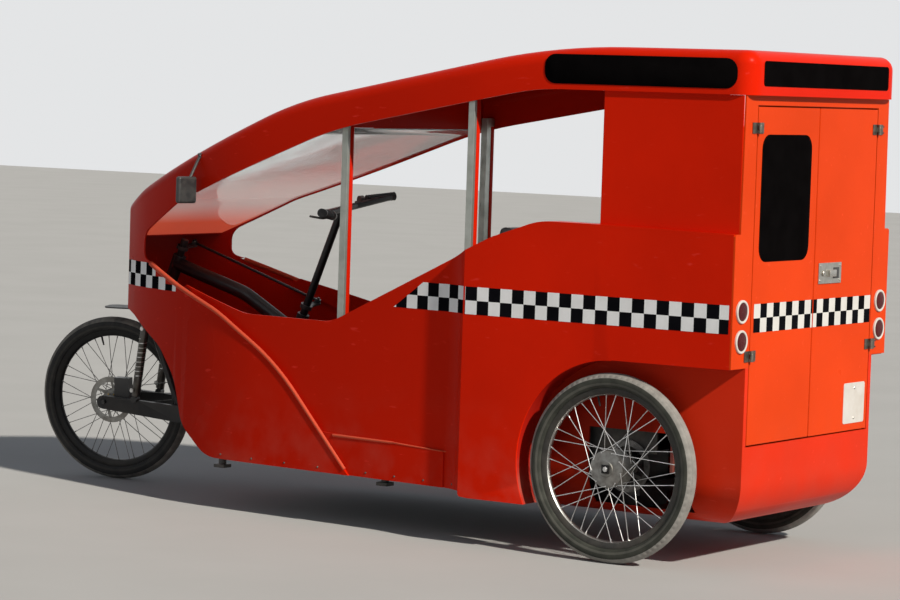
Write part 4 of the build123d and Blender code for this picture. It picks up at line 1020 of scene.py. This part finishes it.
def seats():
    low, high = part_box("bench_cushion")
    bench = pad("bench_cushion", lambda co: co.z < low.z + BENCH_HELD, 0.7, **BENCH_PAD)
    z = high.z - 0.016
    welt("bench_welt", bench,
         [(x, y, z) for x, y in ((low.x, low.y), (high.x, low.y), (high.x, high.y), (low.x, high.y))])
    low2, high2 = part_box("bench_backrest")
    back = pad("bench_backrest", lambda co: co.x < low2.x + BENCH_HELD, 0.7, **BENCH_PAD)
    x = high2.x - 0.014
    welt("backrest_welt", back,
         [(x, y, z) for y, z in ((low2.y, low2.z), (high2.y, low2.z), (high2.y, high2.z), (low2.y, high2.z))])
    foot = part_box("rider_seat")[0].z
    pad("rider_seat", lambda co: co.z < foot + SEAT_HELD, 0.75, **SEAT_PAD)


seats()


def clusters(name, axis):
    """The boxes of a node's two solids, told apart by the widest gap along an axis."""
    verts = sorted((v.co for v in frame["nodes"][name].data.vertices), key=lambda co: co[axis])
    split = max(range(1, len(verts)), key=lambda i: verts[i][axis] - verts[i - 1][axis])
    return [[Vector([pick(co[i] for co in part) for i in range(3)]) for pick in (min, max)]
            for part in (verts[:split], verts[split:])]


# Fittings on the body
def bolts(shape, spots, out, radius, height):
    """Dome-headed bolts at the spots, standing out along a direction."""
    for spot in map(Vector, spots):
        shape.add(*sweep([spot - out * 0.001, spot + out * height * 0.5, spot + out * height],
                         [radius, radius * 0.9, radius * 0.45], 12))


RIVET_STATIONS = [1.04 + 0.125 * i for i in range(4)] + [1.62 + 0.15 * i for i in range(4)]
RIVET_Z = 0.196


def fittings():
    skin = surface("left_rear_panel", "left_front_panel", "nose_fairing", "rear_tub")
    rivets = Shape()
    for station in RIVET_STATIONS:
        hit = from_left(skin, station, RIVET_Z)
        if hit[0] and hit[1].y > 0.8:
            bolts(rivets, [hit[0]], hit[1], 0.0038, 0.0018)
    both_sides(rivets, "rivets", "zinc_fittings", [dark_steel])
    for side, sign in SIDES:
        # Thin red strips on the pillars' rear faces: a painted reflection of the red body.
        reflections = Shape()
        for low, high in clusters(f"{side}_pillars", 0):
            reflections.add(*block((low.x - 0.0012, low.y + 0.002, low.z + 0.02),
                              (low.x, low.y + 0.022, high.z - 0.03), 0.0004))
        reflections.build(f"{side}_pillar_reflections", "chassis", "red_panel", [red])
        screws = Shape()
        for low, high in clusters(f"{side}_door_hinges", 2):
            middle = (low + high) / 2
            spots = [(low.x + 0.003, middle.y + sign * 0.008, middle.z + dz) for dz in (-0.010, 0.010)]
            bolts(screws, spots, -X, 0.0028, 0.0015)
        screws.build(f"{side}_hinge_screws", "chassis", "zinc_fittings", [dark_steel])
    low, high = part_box("door_latch")
    latch = Shape()
    face = high.x - 0.004
    corners = [(face, y, z) for y in (low.y + 0.010, high.y - 0.010) for z in (low.z + 0.010, high.z - 0.010)]
    bolts(latch, corners, -X, 0.0042, 0.0025)
    middle = (low + high) / 2
    latch.add(*block((face - 0.0008, low.y + 0.018, low.z + 0.016),
                     (face + 0.0005, middle.y - 0.020, high.z - 0.016), 0.0003), 1)
    keyhole = Vector((face, high.y - 0.030, middle.z))
    latch.add(*disc(keyhole - X * 0.005, keyhole, 0.009, 24, 0.001))
    latch.build("latch_bolts", "right_door", "zinc_fittings", [zinc, black_plastic])


fittings()


# The swept ledge's rounded edge, as station and height in metres, with the reach of each corner
SWOOP = [(2.520, 0.8326), (2.335, 0.766), (2.110, 0.692), (1.830, 0.540), (1.486, 0.180)]
SWOOP_REACH = [0.005, 0.063, 0.141]
SILL = [(1.565, 0.3085), (1.300, 0.3075), (1.075, 0.2985)]


def edge_bead(name, corners, reaches, node, wide, narrow):
    """A rounded edge laid on both sides of a panel along a line seen from the side, in a lighter paint that is
    a painted highlight.
    """
    skin = surface(node)
    flat = rounded([(x, 0, z) for x, z in corners], reaches, 10)
    line = [flat[0]]
    for a, b in zip(flat, flat[1:]):
        count = max(1, round((b - a).length / 0.025))
        line += [a.lerp(b, (i + 1) / count) for i in range(count)]
    points, radii = [], []
    for i, spot in enumerate(line):
        hit = from_left(skin, spot.x + 0.004, spot.z - 0.003)
        if hit[0]:
            radii.append(wide + (narrow - wide) * i / len(line))
            points.append(at(spot.x - 0.001, hit[0].y - radii[-1] * 0.25, spot.z + 0.001))
    bead = Shape()
    bead.add(*sweep(points, radii, 10))
    both_sides(bead, name, "red_panel", [red_highlight])


edge_bead("swoop_edge", SWOOP, SWOOP_REACH, "nose_fairing", 0.0090, 0.0060)
edge_bead("sill_edge", SILL, 0.0, "left_front_panel", 0.0055, 0.0020)


# Door stops behind the leaves, and the seals on their meeting edges
def door_edges():
    low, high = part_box("left_door")
    top, foot, half, seam = high.z, low.z, high.y, low.y
    back = high.x + 0.0015
    stops = Shape()
    for y_low, y_high, z_low, z_high in (
            (half - 0.010, half + 0.012, foot - 0.010, top + 0.010),
            (-half - 0.012, -half + 0.010, foot - 0.010, top + 0.010),
            (-half, half, top - 0.010, top + 0.012), (-half, half, foot - 0.012, foot + 0.010)):
        stops.add(*block((back, y_low, z_low), (back + 0.0025, y_high, z_high), 0.0005))
    stops.build("door_stops", "chassis", "red_panel", [red_rear])
    for side, sign in SIDES:
        seal = Shape()
        edges = sorted((sign * (seam - 0.0020), sign * (seam + 0.0003)))
        seal.add(*block((low.x + 0.001, edges[0], foot + 0.002), (high.x - 0.001, edges[1], top - 0.002),
                        0.0004))
        seal.build(f"{side}_door_seal", f"{side}_door", "red_panel", [red_rear])


door_edges()

# Coils round the dampers: their ends as shares of the damper's length, then their turns and radius
COIL_FROM, COIL_TO = 0.28, 0.80
COIL_TURNS, COIL_STEPS = 8, 14
COIL_R = 0.015
DAMPER_END = 0.030


def springs():
    """Coils round the dampers, and nuts on the bolts that hold their ends."""
    mesh = frame["nodes"]["front_dampers"].data
    coils = Shape()
    for low, high in clusters("front_dampers", 1):
        points = [v.co for v in mesh.vertices if low.y - 0.001 <= v.co.y <= high.y + 0.001]
        ends = ([p for p in points if p.z < low.z + DAMPER_END],
                [p for p in points if p.z > high.z - DAMPER_END])
        foot, top = (sum(part, Vector()) / len(part) for part in ends)
        along = top - foot
        out = along.normalized().cross(Y)
        path = []
        for i in range(COIL_TURNS * COIL_STEPS + 1):
            angle = 2 * pi * i / COIL_STEPS
            rise = COIL_FROM + (COIL_TO - COIL_FROM) * i / (COIL_TURNS * COIL_STEPS)
            path.append(foot + along * rise + (Y * cos(angle) + out * sin(angle)) * COIL_R)
        coils.add(*sweep(path, 0.0022, 6))
        for spot in (foot + along * 0.08, top - along * 0.06):
            for face, sign in ((high.y, 1), (low.y, -1)):
                nut = [(spot.x, face + sign * step, spot.z) for step in (-0.002, 0.0035)]
                coils.add(*hexagon(*nut, 0.009))
    coils.build("damper_springs", "steering", "zinc_fittings", [spring_steel])


# How many lines search the mirror for its flat back, across and up
SEARCH_ACROSS, SEARCH_UP = 24, 40


def mirror_face():
    """Glass on the flat back of the mirror's housing."""
    low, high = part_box("mirror")
    skin = surface("mirror")
    hits = []
    for i in range(SEARCH_ACROSS + 1):
        for j in range(SEARCH_UP + 1):
            start = Vector((low.x - 0.05, low.y + (high.y - low.y) * i / SEARCH_ACROSS,
                            low.z + (high.z - low.z) * j / SEARCH_UP))
            hit = skin.ray_cast(start, X)
            if hit[0] and hit[1].x < -0.85:
                hits.append(hit[0])
    back = min(p.x for p in hits)
    flat = [p for p in hits if p.x < back + 0.003]
    corner = [pick(p[k] for p in flat) for pick in (min, max) for k in (1, 2)]
    glass = Shape()
    glass.add(*block((back - 0.0010, corner[0] + 0.006, corner[1] + 0.006),
                     (back + 0.0010, corner[2] - 0.006, corner[3] - 0.006), 0.0008))
    glass.build("mirror_glass_plate", "chassis", "zinc_fittings", [mirror_glass])


def lamp_face():
    low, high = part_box("head_lamp")
    middle = (low + high) / 2
    radius = min(high.y - low.y, high.z - low.z) * 0.42
    lens = Shape()
    middle.x = high.x
    lens.add(*disc(middle - X * 0.004, middle + X * 0.0012, radius, 40, 0.001))
    lens.build("head_lamp_lens", "chassis", "lamp_lens", [mirror_glass])


springs()
mirror_face()
lamp_face()


# Rider's fittings
def rider_fittings():
    verts = [v.co for v in frame["nodes"]["handlebar"].data.vertices]
    width = max(co.y for co in verts)
    grips = Shape()
    levers = Shape()
    for sign in (-1, 1):
        ring = [co for co in verts if co.y * sign > width - 0.006]
        end = sum(ring, Vector()) / len(ring)
        inward = Vector((0.070, -sign * 0.185, -0.020)).normalized()
        ribs = [end + inward * (0.120 * i / 40 - 0.002) for i in range(41)]
        radii = [0.0155 if i % 4 < 2 else 0.0143 for i in range(41)]
        grips.add(*sweep(ribs, radii, 20))
        clamp = end + inward * 0.135
        grips.add(*sweep([clamp, clamp + inward * 0.016], 0.0158, 20), 1)
        lever = [clamp + Vector((0.012, 0, -0.006)), clamp + Vector((0.040, 0, -0.012)),
                 end + Vector((0.048, 0, -0.014))]
        levers.add(*sweep(rounded(lever, 0.02), 0.0042))
    grips.build("grips", "handlebar", "black_plastic", [rubber, dark_steel])
    levers.build("brake_levers", "handlebar", "black_metal", [dark_steel])


rider_fittings()


# Camera
CAMERA = at(-4.8190, 9.3568, 1.5046)
YAW, PITCH, ROLL = radians(-56.3534), radians(3.7792), radians(1.8436)
FOCAL_PIXELS = 3242.5
IMAGE_WIDTH = 900


def make_camera():
    data = bpy.data.cameras.new("camera")
    data.sensor_width = 36.0
    data.lens = FOCAL_PIXELS / IMAGE_WIDTH * data.sensor_width
    camera = place_object("camera", data)
    forward = Vector((cos(YAW) * cos(PITCH), sin(YAW) * cos(PITCH), -sin(PITCH)))
    right = Vector((sin(YAW), -cos(YAW), 0))
    up = right.cross(forward)
    right, up = right * cos(ROLL) + up * sin(ROLL), up * cos(ROLL) - right * sin(ROLL)
    turn = Matrix((right, up, -forward)).transposed().to_4x4()
    camera.matrix_world = Matrix.Translation(CAMERA) @ turn
    scene.camera = camera


make_camera()


# Floor, backdrop and lights
FLOOR_HALF = 30.0


def stage():
    """A plain floor, and a backdrop that looks brighter than the light it gives."""
    floor = Material("studio_floor", (0.46, 0.46, 0.455), 0.85, gloss=0.1)
    floor.vary(1.5, (0.44, 0.44, 0.435), rough_by=0.03)
    mesh = bpy.data.meshes.new("floor")
    corners = [(x * FLOOR_HALF, y * FLOOR_HALF, 0) for x, y in ((-1, -1), (1, -1), (1, 1), (-1, 1))]
    mesh.from_pydata(corners, [], [(0, 1, 2, 3)])
    mesh.materials.append(floor.data)
    plane = place_object("floor", mesh)
    world = bpy.data.worlds.new("studio")
    world.use_nodes = True
    scene.world = world
    tree = world.node_tree
    lit = tree.nodes["Background"]
    lit.inputs["Color"].default_value = (0.80, 0.88, 1.0, 1)
    lit.inputs["Strength"].default_value = 0.20
    seen = add_node(tree, "ShaderNodeBackground", {"Color": (0.86, 0.87, 0.88, 1), "Strength": 0.9})
    path = add_node(tree, "ShaderNodeLightPath").outputs
    direct = path["Is Camera Ray"]
    for ray in ("Is Transmission Ray", "Is Glossy Ray"):
        direct = add_node(tree, "ShaderNodeMath", {0: direct, 1: path[ray]}, operation="MAXIMUM").outputs[0]
    mix = add_node(tree, "ShaderNodeMixShader", {"Fac": direct, 1: lit.outputs[0], 2: seen.outputs[0]})
    feed(tree, tree.nodes["World Output"].inputs["Surface"], mix.outputs[0])


def sun(name, direction, strength, angle, color):
    data = bpy.data.lights.new(name, "SUN")
    data.energy = strength
    data.angle = radians(angle)
    data.color = color
    lamp = place_object(name, data)
    lamp.rotation_mode = "QUATERNION"
    lamp.rotation_quaternion = Vector(direction).to_track_quat("-Z", "Y")


stage()
sun("key", (0.80, -0.22, -0.565), 4.65, 2, (1.0, 0.94, 0.84))
sun("fill", (-0.1, -0.9, -0.35), 0.08, 60, (1, 1, 1))
scene.view_settings.view_transform = "Standard"
